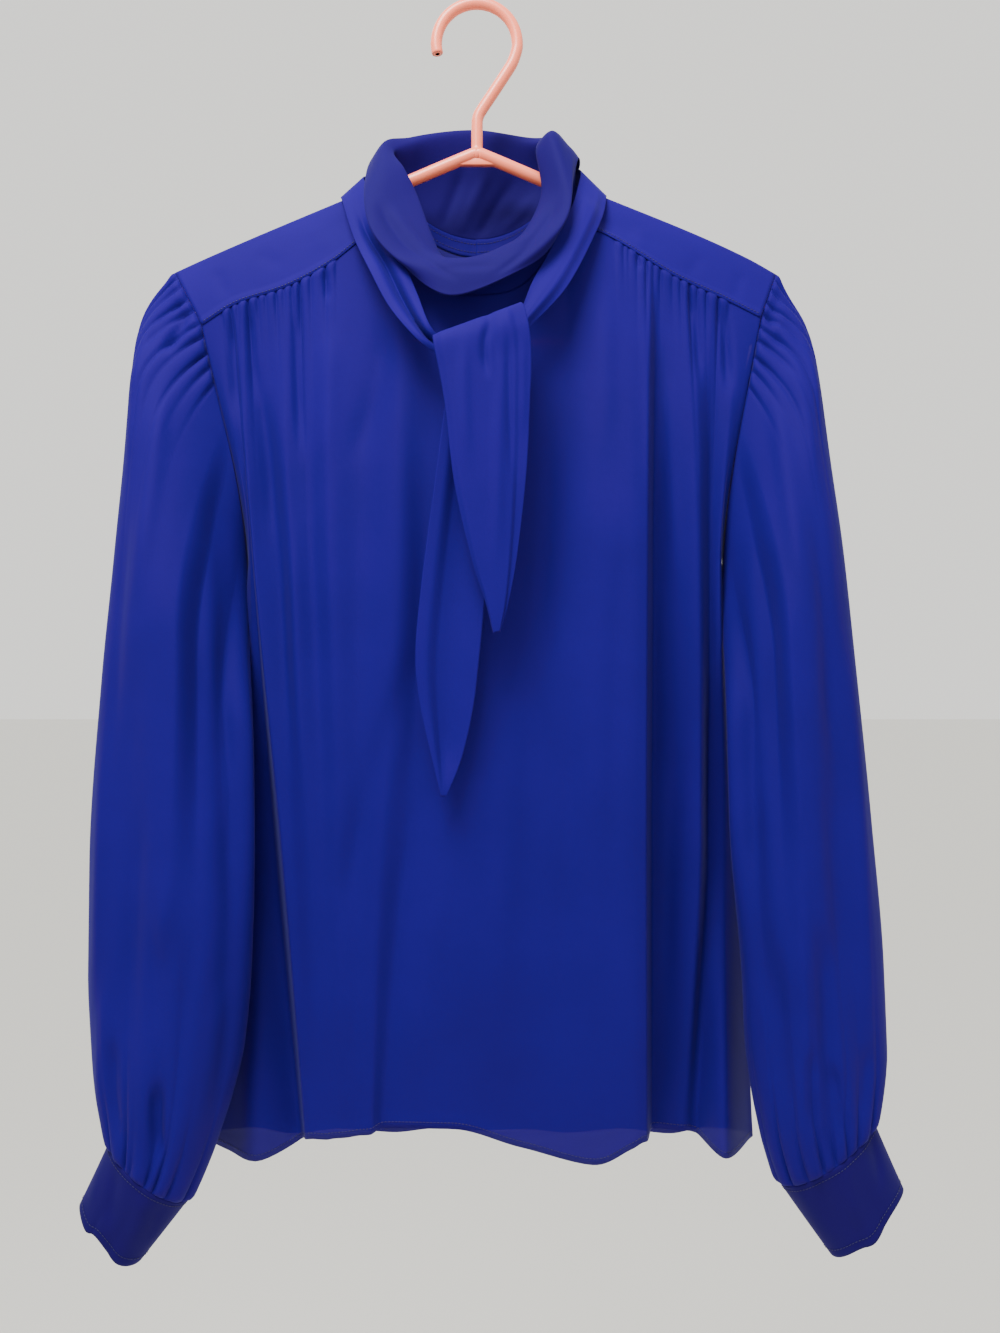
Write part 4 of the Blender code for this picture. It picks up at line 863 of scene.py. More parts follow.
def armhole(side, turns):
    """The armhole's points by turns: 0 the shoulder, 0.25 the front, 0.5 under the arm."""
    sign = -1 if side == "left" else 1
    fine = np.linspace(0, 1, 25)
    yoke = yoke_grid(side, [1.0], np.linspace(0, 1, 49))[:, 0]
    front_x = -184.0 if sign < 0 else 190.0
    back_x = -186.0 if sign < 0 else 190.0
    front = front_grid([front_x], fine * LEVELS[1])[:, 0]
    back = back_grid([back_x], fine * LEVELS[1])[:, 0]
    fore = np.concatenate([yoke[24::-1], front[1:]])
    aft = np.concatenate([back[::-1], yoke[-2:23:-1]])
    turns = np.mod(turns, 1.0)
    first = by_length(fore, np.clip(turns * 2, 0, 1))
    second = by_length(aft, np.clip(turns * 2 - 1, 0, 1))
    return np.where((turns < 0.5)[:, None], first, second)


def cuff_ring(cuff, turns, down):
    """A ring of the cuff; down is 0 at the seam and 1 at the open end."""
    outer = np.array(cuff.seam_outer) * (1 - down) + np.array(cuff.end_outer) * down
    inner = np.array(cuff.seam_inner) * (1 - down) + np.array(cuff.end_inner) * down
    angle = 2 * np.pi * turns
    middle = (outer + inner) / 2
    half = (outer - inner) / 2
    x = middle[0] + half[0] * np.cos(angle)
    z = middle[1] + half[1] * np.cos(angle)
    deep = cuff.seam_half * (1 - down) + cuff.end_half * down
    y = cuff.y - deep * np.sin(angle)
    wave = CUFF_WAVE * down * down * np.sin(2 * angle + 0.6)
    return np.stack([x, y, z + wave], axis=-1)


def cuff_grid(side, turns, downs=(0, 0.35, 0.7, 1)):
    cuff = CUFF_LEFT if side == "left" else CUFF_RIGHT
    return np.array([cuff_ring(cuff, turns, down) for down in downs])


def sleeve_grid(side, turns, downs):
    """A sleeve from the armhole down to the cuff's seam."""
    left = side == "left"
    sign = -1 if left else 1
    rings = SLEEVE_LEFT if left else SLEEVE_RIGHT
    folds = SLEEVE_FOLDS_LEFT if left else SLEEVE_FOLDS_RIGHT
    cuff = CUFF_LEFT if left else CUFF_RIGHT
    turns = np.asarray(turns, float)
    start = armhole(side, turns)
    under = 0.5 - 0.5 * np.cos(2 * np.pi * turns)
    start[:, 0] += sign * (0.2 + 1.2 * under**6)
    start[:, 2] -= 1.5 * under**6
    end = cuff_ring(cuff, turns, 0.0)
    keys = [-r.z for r in rings]
    table = [(r.outer, r.inner, r.y, r.half) for r in rings]
    angle = 2 * np.pi * turns
    rows = []
    for down in downs:
        z = start[:, 2] * (1 - down) + end[:, 2] * down
        outer, inner, y, half = smooth(keys, table, np.clip(-z, keys[0], keys[-1])).T
        wide = np.abs(outer - inner) / 2
        x = (outer + inner) / 2 + sign * wide * np.cos(angle)
        depth = y - half * np.sin(angle)
        out_x = sign * np.cos(angle) / wide
        out_y = -np.sin(angle) / half
        length = np.hypot(out_x, out_y)
        inward = np.zeros_like(z)
        for fold in folds:
            share = (z - fold.z_top) / (fold.z_end - fold.z_top)
            centre = fold.angle_top + (fold.angle_end - fold.angle_top) * share
            away = (np.degrees(angle) - centre + 180) % 360 - 180
            strength = ease(share * 5) * ease((1 - share) * 3)
            inward += fold.depth * bump(away, fold.width) * strength
        degrees = np.degrees(angle)
        recess = ease((degrees - RECESS_EDGE) / RECESS_TURN) * ease((RECESS_END - degrees) / RECESS_BACK)
        inward += RECESS_DEPTH * recess * ease((-z - 225) / 40) * ease((640 + z) / 190)
        x = x - out_x / length * inward
        depth = depth - out_y / length * inward
        tube = np.stack([x, depth, z], axis=-1)
        tube_start = TUBE_START_CAP + (TUBE_START_UNDER - TUBE_START_CAP) * ease(under * 2)
        quick = 1 - (1 - np.clip(down / tube_start, 0, 1)) ** 3
        slow = ease(down / UNDERARM_TURN)
        blend = np.repeat(quick + (slow - quick) * under, 3).reshape(-1, 3)
        clear = UNDERARM_CLEAR * bump(z - UNDERARM_CLEAR_Z, UNDERARM_CLEAR_WIDTH) * under**4
        hanging = np.stack([start[:, 0] + sign * clear, start[:, 1], z], axis=-1)
        tube = hanging * (1 - blend) + tube * blend
        close = ease((down - 0.93) / 0.07)
        rows.append(tube * (1 - close) + end * close)
    return np.array(rows)


def collar_grid(angles, across):
    """The collar: across is 0 at the neck seam, 0.5 at the top of the roll, 1 at the free edge."""
    keys = [s.angle for s in COLLAR]
    table = [(s.inside, s.crest, s.face, s.rim, s.lower) for s in COLLAR]
    rest = round_curve(keys, table, angles, period=360)
    seam = neckline(angles) + np.array([0, 0, BAND_LIFT + BAND_HEIGHT + SEAM_GAP + WALL / 2])
    points = np.concatenate([seam[:, None], rest], axis=1).transpose(1, 0, 2)
    return round_curve((0, 0.25, 0.45, 0.58, 0.75, 1), points, across)


def band_grid(pairs, along, across):
    """A band between two edges."""
    keys = np.linspace(0, 1, len(pairs))
    edges = round_curve(keys, [(p.outer, p.inner) for p in pairs], along)
    across = np.asarray(across)[None, :, None]
    return edges[:, :1] * (1 - across) + edges[:, 1:] * across


def tie_left_grid(along, across):
    grid = band_grid(TIE_LEFT, along, across)
    along = np.asarray(along)[:, None]
    across = np.asarray(across)[None, :]
    slit = bump(across - 0.5, 0.14) * ease((along - 0.5) / 0.12) * ease((1.02 - along) / 0.12)
    grid[:, :, 1] += TIE_SLIT * slit
    return grid


def tie_right_grid(along, across):
    grid = band_grid(TIE_RIGHT, along, across)
    along = np.asarray(along)[:, None]
    across = np.asarray(across)[None, :]
    grid[:, :, 1] -= 3.0 * bump(across - 0.45, 0.3) * ease((along - 0.45) / 0.2)
    return grid


def tail_front_grid(along, across):
    grid = band_grid(TAIL_FRONT, along, across)
    along = np.asarray(along)[:, None]
    across = np.asarray(across)[None, :]
    grid[:, :, 1] += 2.0 * ease((across - 0.8) / 0.08) * ease((along - 0.1) / 0.15)
    grid[:, :, 1] += 1.4 * bump(across - 0.62, 0.06) * ease((0.5 - along) / 0.2)
    grid[:, :, 1] += 2.0 * ease((0.1 - across) / 0.1)
    return grid


def tail_rear_grid(along, across):
    grid = band_grid(TAIL_REAR, along, across)
    along = np.asarray(along)[:, None]
    across = np.asarray(across)[None, :]
    hollow = ease((across - 0.14) / 0.2) * bump(across - 0.5, 0.4)
    grid[:, :, 1] += 5.0 * hollow * ease((1.0 - along) / 0.2) * ease(along / 0.15)
    return grid


def hook_path():
    """Centre line of the hook and the neck, and the radius along it."""
    centre_x, centre_z = HOOK_CENTRE
    arc = np.radians(np.linspace(193, -8, 19))
    x = centre_x + HOOK_RADIUS * np.cos(arc)
    z = centre_z + HOOK_RADIUS * np.sin(arc)
    path = np.concatenate([np.stack([x, z], axis=-1), HOOK_REST])
    tip = path[0] + (path[0] - path[1]) * 0.12
    path = np.concatenate([[tip], path])
    radius = np.full(len(path), NECK_ROD_RADIUS)
    radius[0] = NECK_ROD_RADIUS * 0.7
    return np.stack([path[:, 0], np.zeros(len(path)), path[:, 1]], axis=-1), radius


def frame_path():
    """Centre line of the arms and the bar, as one closed loop."""
    arm = [(x, APEX_Z - ARM_SLOPE * x) for x in ARM_XS]
    half = arm + list(ARM_CORNER) + [(x, BAR_Z) for x in BAR_XS]
    other = [(-x, z) for x, z in reversed(half)]
    points = [(0, APEX_Z - 1.2)] + half + other
    return np.array([(x, 0, z) for x, z in points])


def crease_height(x, z, creases):
    """Height of straight soft creases over points seen from the front: ridges up, troughs down."""
    height = np.zeros_like(x)
    for crease in creases:
        along = np.array([crease.x_end - crease.x_top, crease.z_end - crease.z_top])
        length = np.hypot(*along)
        along = along / length
        dx = x - crease.x_top
        dz = z - crease.z_top
        share = (dx * along[0] + dz * along[1]) / length
        off = dx * along[1] - dz * along[0]
        off = off - crease.bow * np.sin(np.pi * np.clip(share, 0, 1))
        fade = ease(share / 0.3) * ease((1 - share) / 0.4)
        height += crease.height * bump(off, crease.width) * fade
    return height


def run_down(grid):
    """Distance of each point from the first row, along its own column."""
    step = np.linalg.norm(np.diff(grid, axis=0), axis=2)
    return np.concatenate([np.zeros((1, grid.shape[1])), np.cumsum(step, axis=0)])


def puffs(places, tucks, run):
    """Rounded cloth between tucks: full just past the seam, flat further off."""
    at = np.array([t.at for t in tucks], float)
    length = np.array([t.length for t in tucks], float)
    index = np.clip(np.searchsorted(at, places, side="right") - 1, 0, len(at) - 2)
    gap = at[index + 1] - at[index]
    share = np.clip((places - at[index]) / gap, 0, 1)
    size = np.minimum(PUFF_SHARE * gap * PUFF_SCALE[tucks[0].unit], PUFF_LIMIT)
    round_top = np.sin(np.pi * share) ** 0.75 * size
    inside = (places > at[0]) & (places < at[-1])
    reach = (length[index] + length[index + 1]) / 2
    rise = (1 - np.exp(-run / PUFF_RISE)) * np.exp(-run / reach[None, :])
    height = round_top[None, :] * inside[None, :] * rise
    for tuck in tucks:
        near = bump((places - tuck.at) * PUFF_SCALE[tuck.unit], TUCK_HALF_WIDTH)[None, :]
        height = height - tuck.depth * near * (1 - np.exp(-run / 2.0)) * np.exp(-run / tuck.length)
    return height


def gathers(unit, rows):
    return tuple(Tuck(at, depth, length, unit) for at, depth, length in rows)


FRONT_GATHERS_LEFT = gathers("mm", GATHERS_LEFT_ROWS)
FRONT_GATHERS_RIGHT = gathers("mm", GATHERS_RIGHT_ROWS)
BACK_GATHERS_LEFT = gathers("mm", BACK_GATHERS_LEFT_ROWS)
BACK_GATHERS_RIGHT = gathers("mm", BACK_GATHERS_RIGHT_ROWS)
CAP_GATHERS = gathers("turn", CAP_ROWS)
CUFF_GATHERS_LEFT = gathers("degree", CUFF_LEFT_ROWS)
CUFF_GATHERS_RIGHT = gathers("degree", CUFF_RIGHT_ROWS)


def shell(name, grid, material, closed=False, thickness=CLOTH, left_out=None):
    """A thin closed sheet about a grid of points."""
    rows, cols = grid.shape[:2]
    half = grid_normals(grid, closed) * thickness / 2
    points = np.concatenate([(grid + half).reshape(-1, 3), (grid - half).reshape(-1, 3)]) * MM
    total = rows * cols
    row = np.arange(rows - 1)[:, None]
    col = np.arange(cols if closed else cols - 1)[None, :]
    right = (col + 1) % cols
    corners = (row * cols + col, row * cols + right, (row + 1) * cols + right, (row + 1) * cols + col)
    quads = np.stack(np.broadcast_arrays(*corners), axis=-1)
    if left_out is not None:
        quads = quads[~left_out]
    quads = quads.reshape(-1, 4)
    edges = quads[:, [0, 1, 1, 2, 2, 3, 3, 0]].reshape(-1, 2)
    ordered = np.sort(edges, axis=1)
    keys = ordered[:, 0] * total + ordered[:, 1]
    unique, where, count = np.unique(keys, return_index=True, return_counts=True)
    border = edges[where[count == 1]]
    rim = np.stack([border[:, 1], border[:, 0], border[:, 0] + total, border[:, 1] + total], axis=-1)
    faces = np.concatenate([quads, quads[:, ::-1] + total, rim])
    used, faces = np.unique(faces, return_inverse=True)
    return mesh_object(name, points[used], faces.reshape(-1, 4), material)


def mesh_object(name, points, faces, material):
    mesh = bpy.data.meshes.new(name)
    mesh.from_pydata(points.tolist(), [], faces.tolist() if hasattr(faces, "tolist") else faces)
    mesh.polygons.foreach_set("use_smooth", np.ones(len(mesh.polygons), bool))
    mesh.materials.append(material)
    mesh.update()
    item = bpy.data.objects.new(name, mesh)
    bpy.context.scene.collection.objects.link(item)
    return item


def add_piece(item, slot, *nodes):
    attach(item, "root")
    if nodes:
        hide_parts(*nodes)
    return item


def stitches(name, line, out, material, pitch=STITCH_PITCH, length=STITCH_LENGTH):
    """A row of short stitches along a line of points, on its outer side."""
    step = np.linalg.norm(np.diff(line, axis=0), axis=1)
    run = np.concatenate([[0], np.cumsum(step)])
    places = np.arange(pitch / 2, run[-1] - pitch / 2, pitch)
    points = []
    faces = []
    for place in places:
        ends = [place - length / 2, place + length / 2]
        a, b = (np.array([np.interp(end, run, line[:, k]) for k in range(3)]) for end in ends)
        up = np.array([np.interp(place, run, out[:, k]) for k in range(3)])
        way = (b - a) / np.linalg.norm(b - a)
        side = np.cross(way, up)
        side /= np.linalg.norm(side)
        up = np.cross(side, way)
        base = len(points)
        inside = way * length * 0.25
        for spot, swell in ((a, 0.35), (a + inside, 1.0), (b - inside, 1.0), (b, 0.35)):
            lift = up * (STITCH_LIFT if swell == 1.0 else 0.0)
            for turn in range(5):
                angle = 2 * math.pi * turn / 5
                ring = side * math.cos(angle) + up * math.sin(angle)
                points.append(spot + lift + ring * STITCH_RADIUS * swell)
        for row in range(3):
            for turn in range(5):
                right = (turn + 1) % 5
                start = base + row * 5
                faces.append((start + turn, start + right, start + 5 + right, start + 5 + turn))
        faces.append(tuple(base + turn for turn in reversed(range(5))))
        faces.append(tuple(base + 15 + turn for turn in range(5)))
    return mesh_object(name, np.array(points) * MM, faces, material)


def new_material(name):
    """A material with its node tree, its shader and the object's own coordinates."""
    material = bpy.data.materials.new(name)
    material.use_nodes = True
    tree = material.node_tree
    place = tree.nodes.new("ShaderNodeTexCoord")
    return material, tree, tree.nodes["Principled BSDF"], place.outputs["Object"]


def set_values(item, **values):
    for name, value in values.items():
        item.inputs[name.replace("_", " ")].default_value = value


def noise(tree, place, scale, detail=2.0):
    texture = tree.nodes.new("ShaderNodeTexNoise")
    set_values(texture, Scale=scale, Detail=detail)
    tree.links.new(place, texture.inputs["Vector"])
    return texture


def threads_along(tree, place, direction):
    texture = tree.nodes.new("ShaderNodeTexWave")
    texture.wave_type = "BANDS"
    texture.bands_direction = direction
    set_values(texture, Scale=THREAD_SCALE, Distortion=1.6, Detail=1.0)
    tree.links.new(place, texture.inputs["Vector"])
    return texture


def colour_mix(tree, dark, light):
    mix = tree.nodes.new("ShaderNodeMix")
    mix.data_type = "RGBA"
    mix.inputs[6].default_value = (*dark, 1.0)
    mix.inputs[7].default_value = (*light, 1.0)
    return mix


def added(tree, first, second):
    total = tree.nodes.new("ShaderNodeMath")
    total.operation = "ADD"
    tree.links.new(first, total.inputs[0])
    tree.links.new(second, total.inputs[1])
    return total.outputs[0]


def add_relief(tree, shader, height, strength):
    relief = tree.nodes.new("ShaderNodeBump")
    set_values(relief, Strength=strength, Distance=RELIEF_DEPTH)
    tree.links.new(height, relief.inputs["Height"])
    tree.links.new(relief.outputs["Normal"], shader.inputs["Normal"])


def georgette(name, light, dark, alpha):
    """Crepe georgette: a fine pebbled weave, a soft uneven colour and a faint sheen."""
    material, tree, shader, place = new_material(name)
    set_values(shader, Roughness=0.7, Specular_IOR_Level=0.07, Sheen_Weight=0.05, Sheen_Roughness=0.45)
    set_values(shader, Sheen_Tint=(0.35, 0.38, 1.0, 1.0), Alpha=alpha)
    soft = noise(tree, place, 14.0, 3.0)
    crepe = noise(tree, place, 1500.0)
    warp = threads_along(tree, place, "X")
    weft = threads_along(tree, place, "Z")
    colour = colour_mix(tree, dark, light)
    grain = tree.nodes.new("ShaderNodeMix")
    grain.data_type = "RGBA"
    grain.blend_type = "MULTIPLY"
    grain.inputs[0].default_value = 0.22
    link = tree.links.new
    link(soft.outputs["Fac"], colour.inputs[0])
    link(colour.outputs[2], grain.inputs[6])
    link(crepe.outputs["Color"], grain.inputs[7])
    link(grain.outputs[2], shader.inputs["Base Color"])
    threads = added(tree, warp.outputs["Fac"], weft.outputs["Fac"])
    add_relief(tree, shader, added(tree, threads, crepe.outputs["Fac"]), 0.16)
    return material


def moulded_plastic(name, light, dark, roughness):
    """Smooth moulded plastic with a faint flow in its colour and gloss."""
    material, tree, shader, place = new_material(name)
    set_values(shader, Specular_IOR_Level=0.5, Subsurface_Weight=0.08, Subsurface_Scale=0.002)
    flow = noise(tree, place, 22.0, 4.0)
    fine = noise(tree, place, 900.0)
    colour = colour_mix(tree, dark, light)
    gloss = tree.nodes.new("ShaderNodeMapRange")
    set_values(gloss, To_Min=roughness * 0.8, To_Max=roughness * 1.2)
    link = tree.links.new
    link(flow.outputs["Fac"], colour.inputs[0])
    link(colour.outputs[2], shader.inputs["Base Color"])
    link(flow.outputs["Fac"], gloss.inputs["Value"])
    link(gloss.outputs["Result"], shader.inputs["Roughness"])
    add_relief(tree, shader, fine.outputs["Fac"], 0.05)
    return material


def thread(name, colour):
    """Sewing thread, a little shinier than the cloth, with painted shade in darker diagonal bands between its
    twisted plies.
    """
    material, tree, shader, place = new_material(name)
    set_values(shader, Roughness=0.5)
    # Painted shade: darker diagonal bands stand for the shaded grooves between the thread's twisted plies
    twist_shade_bands = tree.nodes.new("ShaderNodeTexWave")
    twist_shade_bands.bands_direction = "DIAGONAL"
    set_values(twist_shade_bands, Scale=900.0)
    shade = colour_mix(tree, [c * 0.7 for c in colour], colour)
    link = tree.links.new
    link(place, twist_shade_bands.inputs["Vector"])
    link(twist_shade_bands.outputs["Fac"], shade.inputs[0])
    link(shade.outputs[2], shader.inputs["Base Color"])
    return material


def outward_normals(grid):
    """Normals of a tube of cloth, away from its middle."""
    normal = grid_normals(grid, True)
    middle = grid.mean(axis=1, keepdims=True)
    return normal * np.sign(np.sum(normal * (grid - middle), axis=2).sum())


def add_hem_stitches(name, grid, from_hem, facing, seam_thread):
    hem = stitch_row(grid, from_hem, HEM_WIDTH - HEM_STITCH_IN)
    out = np.tile([0.0, facing, 0.0], (len(hem), 1))
    return add_piece(stitches(name, hem + out * STITCH_OUT, out, seam_thread), "georgette")


def add_front(cloth, seam_thread):
    sides = (np.linspace(-184, -171, 12), np.linspace(168, 190, 18))
    gathered = (np.arange(-170.1, -92, 0.9), np.arange(92.5, 167.5, 0.9))
    xs = np.concatenate([sides[0], gathered[0], np.linspace(-91, 91.5, 76), gathered[1], sides[1]])
    rows = np.concatenate([np.linspace(0, 0.06, 22), np.linspace(0.065, 0.31, 46), np.linspace(0.318, 1, 84)])
    grid = front_grid(xs, rows)
    run = run_down(grid)
    height = puffs(xs, FRONT_GATHERS_LEFT, run) + puffs(xs, FRONT_GATHERS_RIGHT, run)
    height = height + crease_height(grid[:, :, 0], grid[:, :, 2], FRONT_CREASES)
    from_hem = run[-1] - run
    height = height + HEM_LIFT * (1 - ease((from_hem - HEM_WIDTH) / 0.8))
    grid[:, :, 1] -= height
    front = shell("blouse_front", grid, cloth)
    add_piece(front, "georgette", "front")
    sewing = add_hem_stitches("front_hem_stitches", grid, from_hem, -1.0, seam_thread)


def stitch_row(grid, run, distance):
    """The points at a distance from a border, one on each column."""
    line = []
    for col in range(grid.shape[1]):
        order = np.argsort(run[:, col])
        line.append([np.interp(distance, run[order, col], grid[order, col, k]) for k in range(3)])
    return np.array(line)


def add_back(cloth, seam_thread):
    half = OPENING_WIDTH / 2
    left = np.linspace(BACK_LINES[0].top, -half, 80)
    right = np.linspace(half, BACK_LINES[-1].top, 80)
    xs = np.concatenate([left, right])
    rows = np.concatenate([np.linspace(0, 0.05, 12), np.linspace(0.06, 0.31, 40), np.linspace(0.32, 1, 70)])
    grid = back_grid(xs, rows)
    run = run_down(grid)
    height = puffs(xs, BACK_GATHERS_LEFT, run) + puffs(xs, BACK_GATHERS_RIGHT, run)
    height = height + crease_height(grid[:, :, 0], grid[:, :, 2], BACK_CREASES)
    from_hem = run[-1] - run
    height = height + HEM_LIFT * (1 - ease((from_hem - HEM_WIDTH) / 0.8))
    binding = bump(np.abs(xs) - 3.0, 2.2)[None, :] * (1 - ease((run - OPENING_LENGTH) / 3.0))
    height = height + OPENING_LIFT * binding
    grid[:, :, 1] += height
    lapped = (1 - ease((run[:, len(left) - 1] - OPENING_LENGTH + 12) / 12)) * OPENING_LAP
    grid[:, len(left) - 1, 0] += lapped
    grid[:, len(left) - 2, 0] += lapped * 0.6
    grid[:, len(left) - 1, 1] -= lapped * 0.5
    cut = np.zeros((len(rows) - 1, len(xs) - 1), bool)
    cut[:, len(left) - 1] = run[1:, len(left) - 1] < OPENING_LENGTH
    back = shell("blouse_back", grid, cloth, left_out=cut)
    add_piece(back, "georgette", "back")
    sewing = add_hem_stitches("back_hem_stitches", grid, from_hem, 1.0, seam_thread)


def add_yoke(side, cloth, seam_thread):
    across = np.linspace(0, 1, 60)
    over = np.concatenate([np.linspace(0, 0.36, 24), np.linspace(0.38, 0.62, 26), np.linspace(0.64, 1, 20)])
    grid = yoke_grid(side, across, over)
    normal = grid_normals(grid, False)
    outward = normal * np.sign(normal[len(over) // 2, :, 2])[None, :, None]
    from_front = run_down(grid)
    from_back = from_front[-1] - from_front
    nearest = np.minimum(from_front, from_back)
    fold = YOKE_EDGE_LIFT * (1 - ease((nearest - YOKE_EDGE_WIDTH) / 0.8))
    sag = crease_height(grid[:, :, 0], grid[:, :, 2], YOKE_CREASES) * (grid[:, :, 1] < 0)
    grid = grid + outward * (fold + sag)[:, :, None]
    lap = grid[0] - grid[1]
    grid[0] += lap / np.linalg.norm(lap, axis=1, keepdims=True) * YOKE_LAP
    yoke = shell("yoke_" + side + "_cloth", grid, cloth)
    add_piece(yoke, "doubled_georgette", "yoke_" + side)
    for end, run in (("front", from_front), ("back", from_back)):
        line = stitch_row(grid, run, YOKE_STITCH_IN)
        out = outward[1] if end == "front" else outward[-2]
        row = stitches("yoke_%s_%s_stitches" % (side, end), line + out * STITCH_OUT, out, seam_thread)
        add_piece(row, "doubled_georgette")


def add_sleeve(side, cloth):
    turns = np.arange(SLEEVE_COLUMNS) / SLEEVE_COLUMNS
    downs = np.concatenate([np.linspace(0, 0.1, 28), np.linspace(0.11, 0.82, 50), np.linspace(0.83, 1, 28)])
    grid = sleeve_grid(side, turns, downs)
    outward = outward_normals(grid)
    from_cap = run_down(grid)
    from_cuff = from_cap[-1] - from_cap
    shifted = (turns + 0.5) % 1.0 - 0.5
    order = np.argsort(shifted)
    cap = np.zeros_like(from_cap)
    cap[:, order] = puffs(shifted[order], CAP_GATHERS, from_cap[:, order])
    tucks = CUFF_GATHERS_LEFT if side == "left" else CUFF_GATHERS_RIGHT
    angles = np.degrees(2 * np.pi * turns)
    cuff = puffs(angles, tucks, from_cuff)
    creases = SLEEVE_CREASES_LEFT if side == "left" else SLEEVE_CREASES_RIGHT
    seen = np.clip(np.sin(2 * np.pi * turns) * 1.6, 0, 1)[None, :]
    hidden = np.clip(-np.sin(2 * np.pi * turns) * 1.6, 0, 1)[None, :]
    folds = crease_height(grid[:, :, 0], grid[:, :, 2], creases) * seen
    folds = folds + crease_height(grid[:, :, 0] + 9.0, grid[:, :, 2] + 14.0, creases) * hidden
    grid = grid + outward * (cap + cuff + folds)[:, :, None]
    sleeve = shell("sleeve_" + side + "_cloth", grid, cloth, closed=True)
    add_piece(sleeve, "georgette", "sleeve_" + side)


def add_cuff(side, cloth, seam_thread):
    turns = np.arange(CUFF_COLUMNS) / CUFF_COLUMNS
    downs = np.linspace(0, 1, 30)
    grid = cuff_grid(side, turns, downs)
    wave = CUFF_EDGE_LEFT if side == "left" else CUFF_EDGE_RIGHT
    share = (1 - np.cos(2 * np.pi * turns)) / 2
    edge = smooth([w.at for w in wave], [[w.rise] for w in wave], share)[:, 0]
    grid[:, :, 2] += edge[None, :] * downs[:, None] ** 2
    grid[:, :, 1] -= 0.45 * np.abs(edge[None, :]) * downs[:, None] ** 2 * np.sin(2 * np.pi * turns)[None, :]
    creases = CUFF_CREASES_LEFT if side == "left" else CUFF_CREASES_RIGHT
    seen = np.clip(np.sin(2 * np.pi * turns) * 1.6, 0, 1)[None, :]
    grid[:, :, 1] -= crease_height(grid[:, :, 0], grid[:, :, 2], creases) * seen
    cuff = shell("cuff_" + side + "_cloth", grid, cloth, closed=True, thickness=CUFF_THICKNESS)
    add_piece(cuff, "doubled_georgette", "cuff_" + side)
    outward = outward_normals(grid)
    for end, row in (("seam", CUFF_SEAM_ROW), ("edge", CUFF_EDGE_ROW)):
        loop = np.concatenate([grid[row], grid[row, :1]])
        out = np.concatenate([outward[row], outward[row, :1]])
        line = loop + out * (CUFF_THICKNESS / 2 + 0.1)
        sewn = stitches("cuff_%s_%s_stitches" % (side, end), line, out, seam_thread)
        add_piece(sewn, "doubled_georgette")


def add_neck_band(cloth, seam_thread):
    angles = np.linspace(-1, 361, 260)
    out = neckline(angles) * np.array([1.0, 1.0, 0.0])
    out = -out / np.linalg.norm(out, axis=1, keepdims=True)
    inset = BAND_INSET * (1 + ease((angles - 352) / 6) - ease((8 - angles) / 6))
    low = neckline(angles) + out * inset[:, None] + np.array([0, 0, BAND_LIFT - SEAM_GAP - BAND_LAP])
    rise = np.linspace(0, BAND_HEIGHT + SEAM_GAP + BAND_LAP + BAND_TOP_LAP, 8)
    grid = low[None] + rise[:, None, None] * np.array([0.0, 0.0, 1.0])
    band = shell("neck_band_cloth", grid, cloth, thickness=BAND_THICKNESS)
    add_piece(band, "doubled_georgette", "neck_band")
    for name, height in (("low", BAND_LAP + 1.6), ("high", BAND_LAP + BAND_HEIGHT - 1.6)):
        line = low + np.array([0, 0, height]) + out * (BAND_THICKNESS / 2 + 0.05)
        row = stitches("neck_band_%s_stitches" % name, line, out, seam_thread)
        add_piece(row, "doubled_georgette")


def add_collar(cloth):
    angles = np.linspace(0, 360, 200, endpoint=False)
    across = np.linspace(0, 1, 72)
    grid = collar_grid(angles, across)
    run = run_down(grid)
    reach = run / run[-1]
    inner = (across < 0.42)[:, None] & (grid[:, :, 1] > 4)
    folds = crease_height(grid[:, :, 0], grid[:, :, 2], COLLAR_INNER_CREASES) * inner
    grid[:, :, 1] -= folds * ease(reach / 0.08)
    outer = (across > 0.45)[:, None] & (grid[:, :, 1] < 0)
    pulls = crease_height(grid[:, :, 0], grid[:, :, 2], COLLAR_OUTER_CREASES) * outer
    grid[:, :, 1] -= pulls
    collar = shell("collar_cloth", grid, cloth, closed=True, thickness=COLLAR_THICKNESS)
    add_piece(collar, "doubled_georgette", "collar")


def add_ties(cloth):
    along = np.linspace(0, 1, 150)
    across = np.linspace(0, 1, 40)
    left = tie_left_grid(along, across)
    pull = np.sin(np.pi * across * 3.0)[None, :] * ease((along - 0.35) / 0.2)[:, None]
    left[:, :, 1] -= 0.5 * pull
    right = tie_right_grid(along, across)
    ridge = bump(across - 0.3, 0.1)[None, :] * ease((along - 0.4) / 0.2)[:, None]
    right[:, :, 1] -= 1.0 * ridge
    front = tail_front_grid(np.linspace(0, 1, 160), np.linspace(0, 1, 60))
    front[:, :, 1] -= crease_height(front[:, :, 0], front[:, :, 2], TAIL_CREASES)
    rear = tail_rear_grid(np.linspace(0, 1, 140), np.linspace(0, 1, 44))
    pieces = (
        ("tie_left", left, (0.25, 0.032), "folded"),
        ("tie_right", right, (0.2, 0.031), "folded"),
        ("tail_front", front, (0.058, 0.21), "folded"),
        ("tail_rear", rear, (0.044, 0.29), "hung"),
    )
    for name, grid, flat, held in pieces:
        piece = shell(name + "_cloth", grid, cloth, thickness=TIE_THICKNESS)
        add_piece(piece, "doubled_georgette", name)


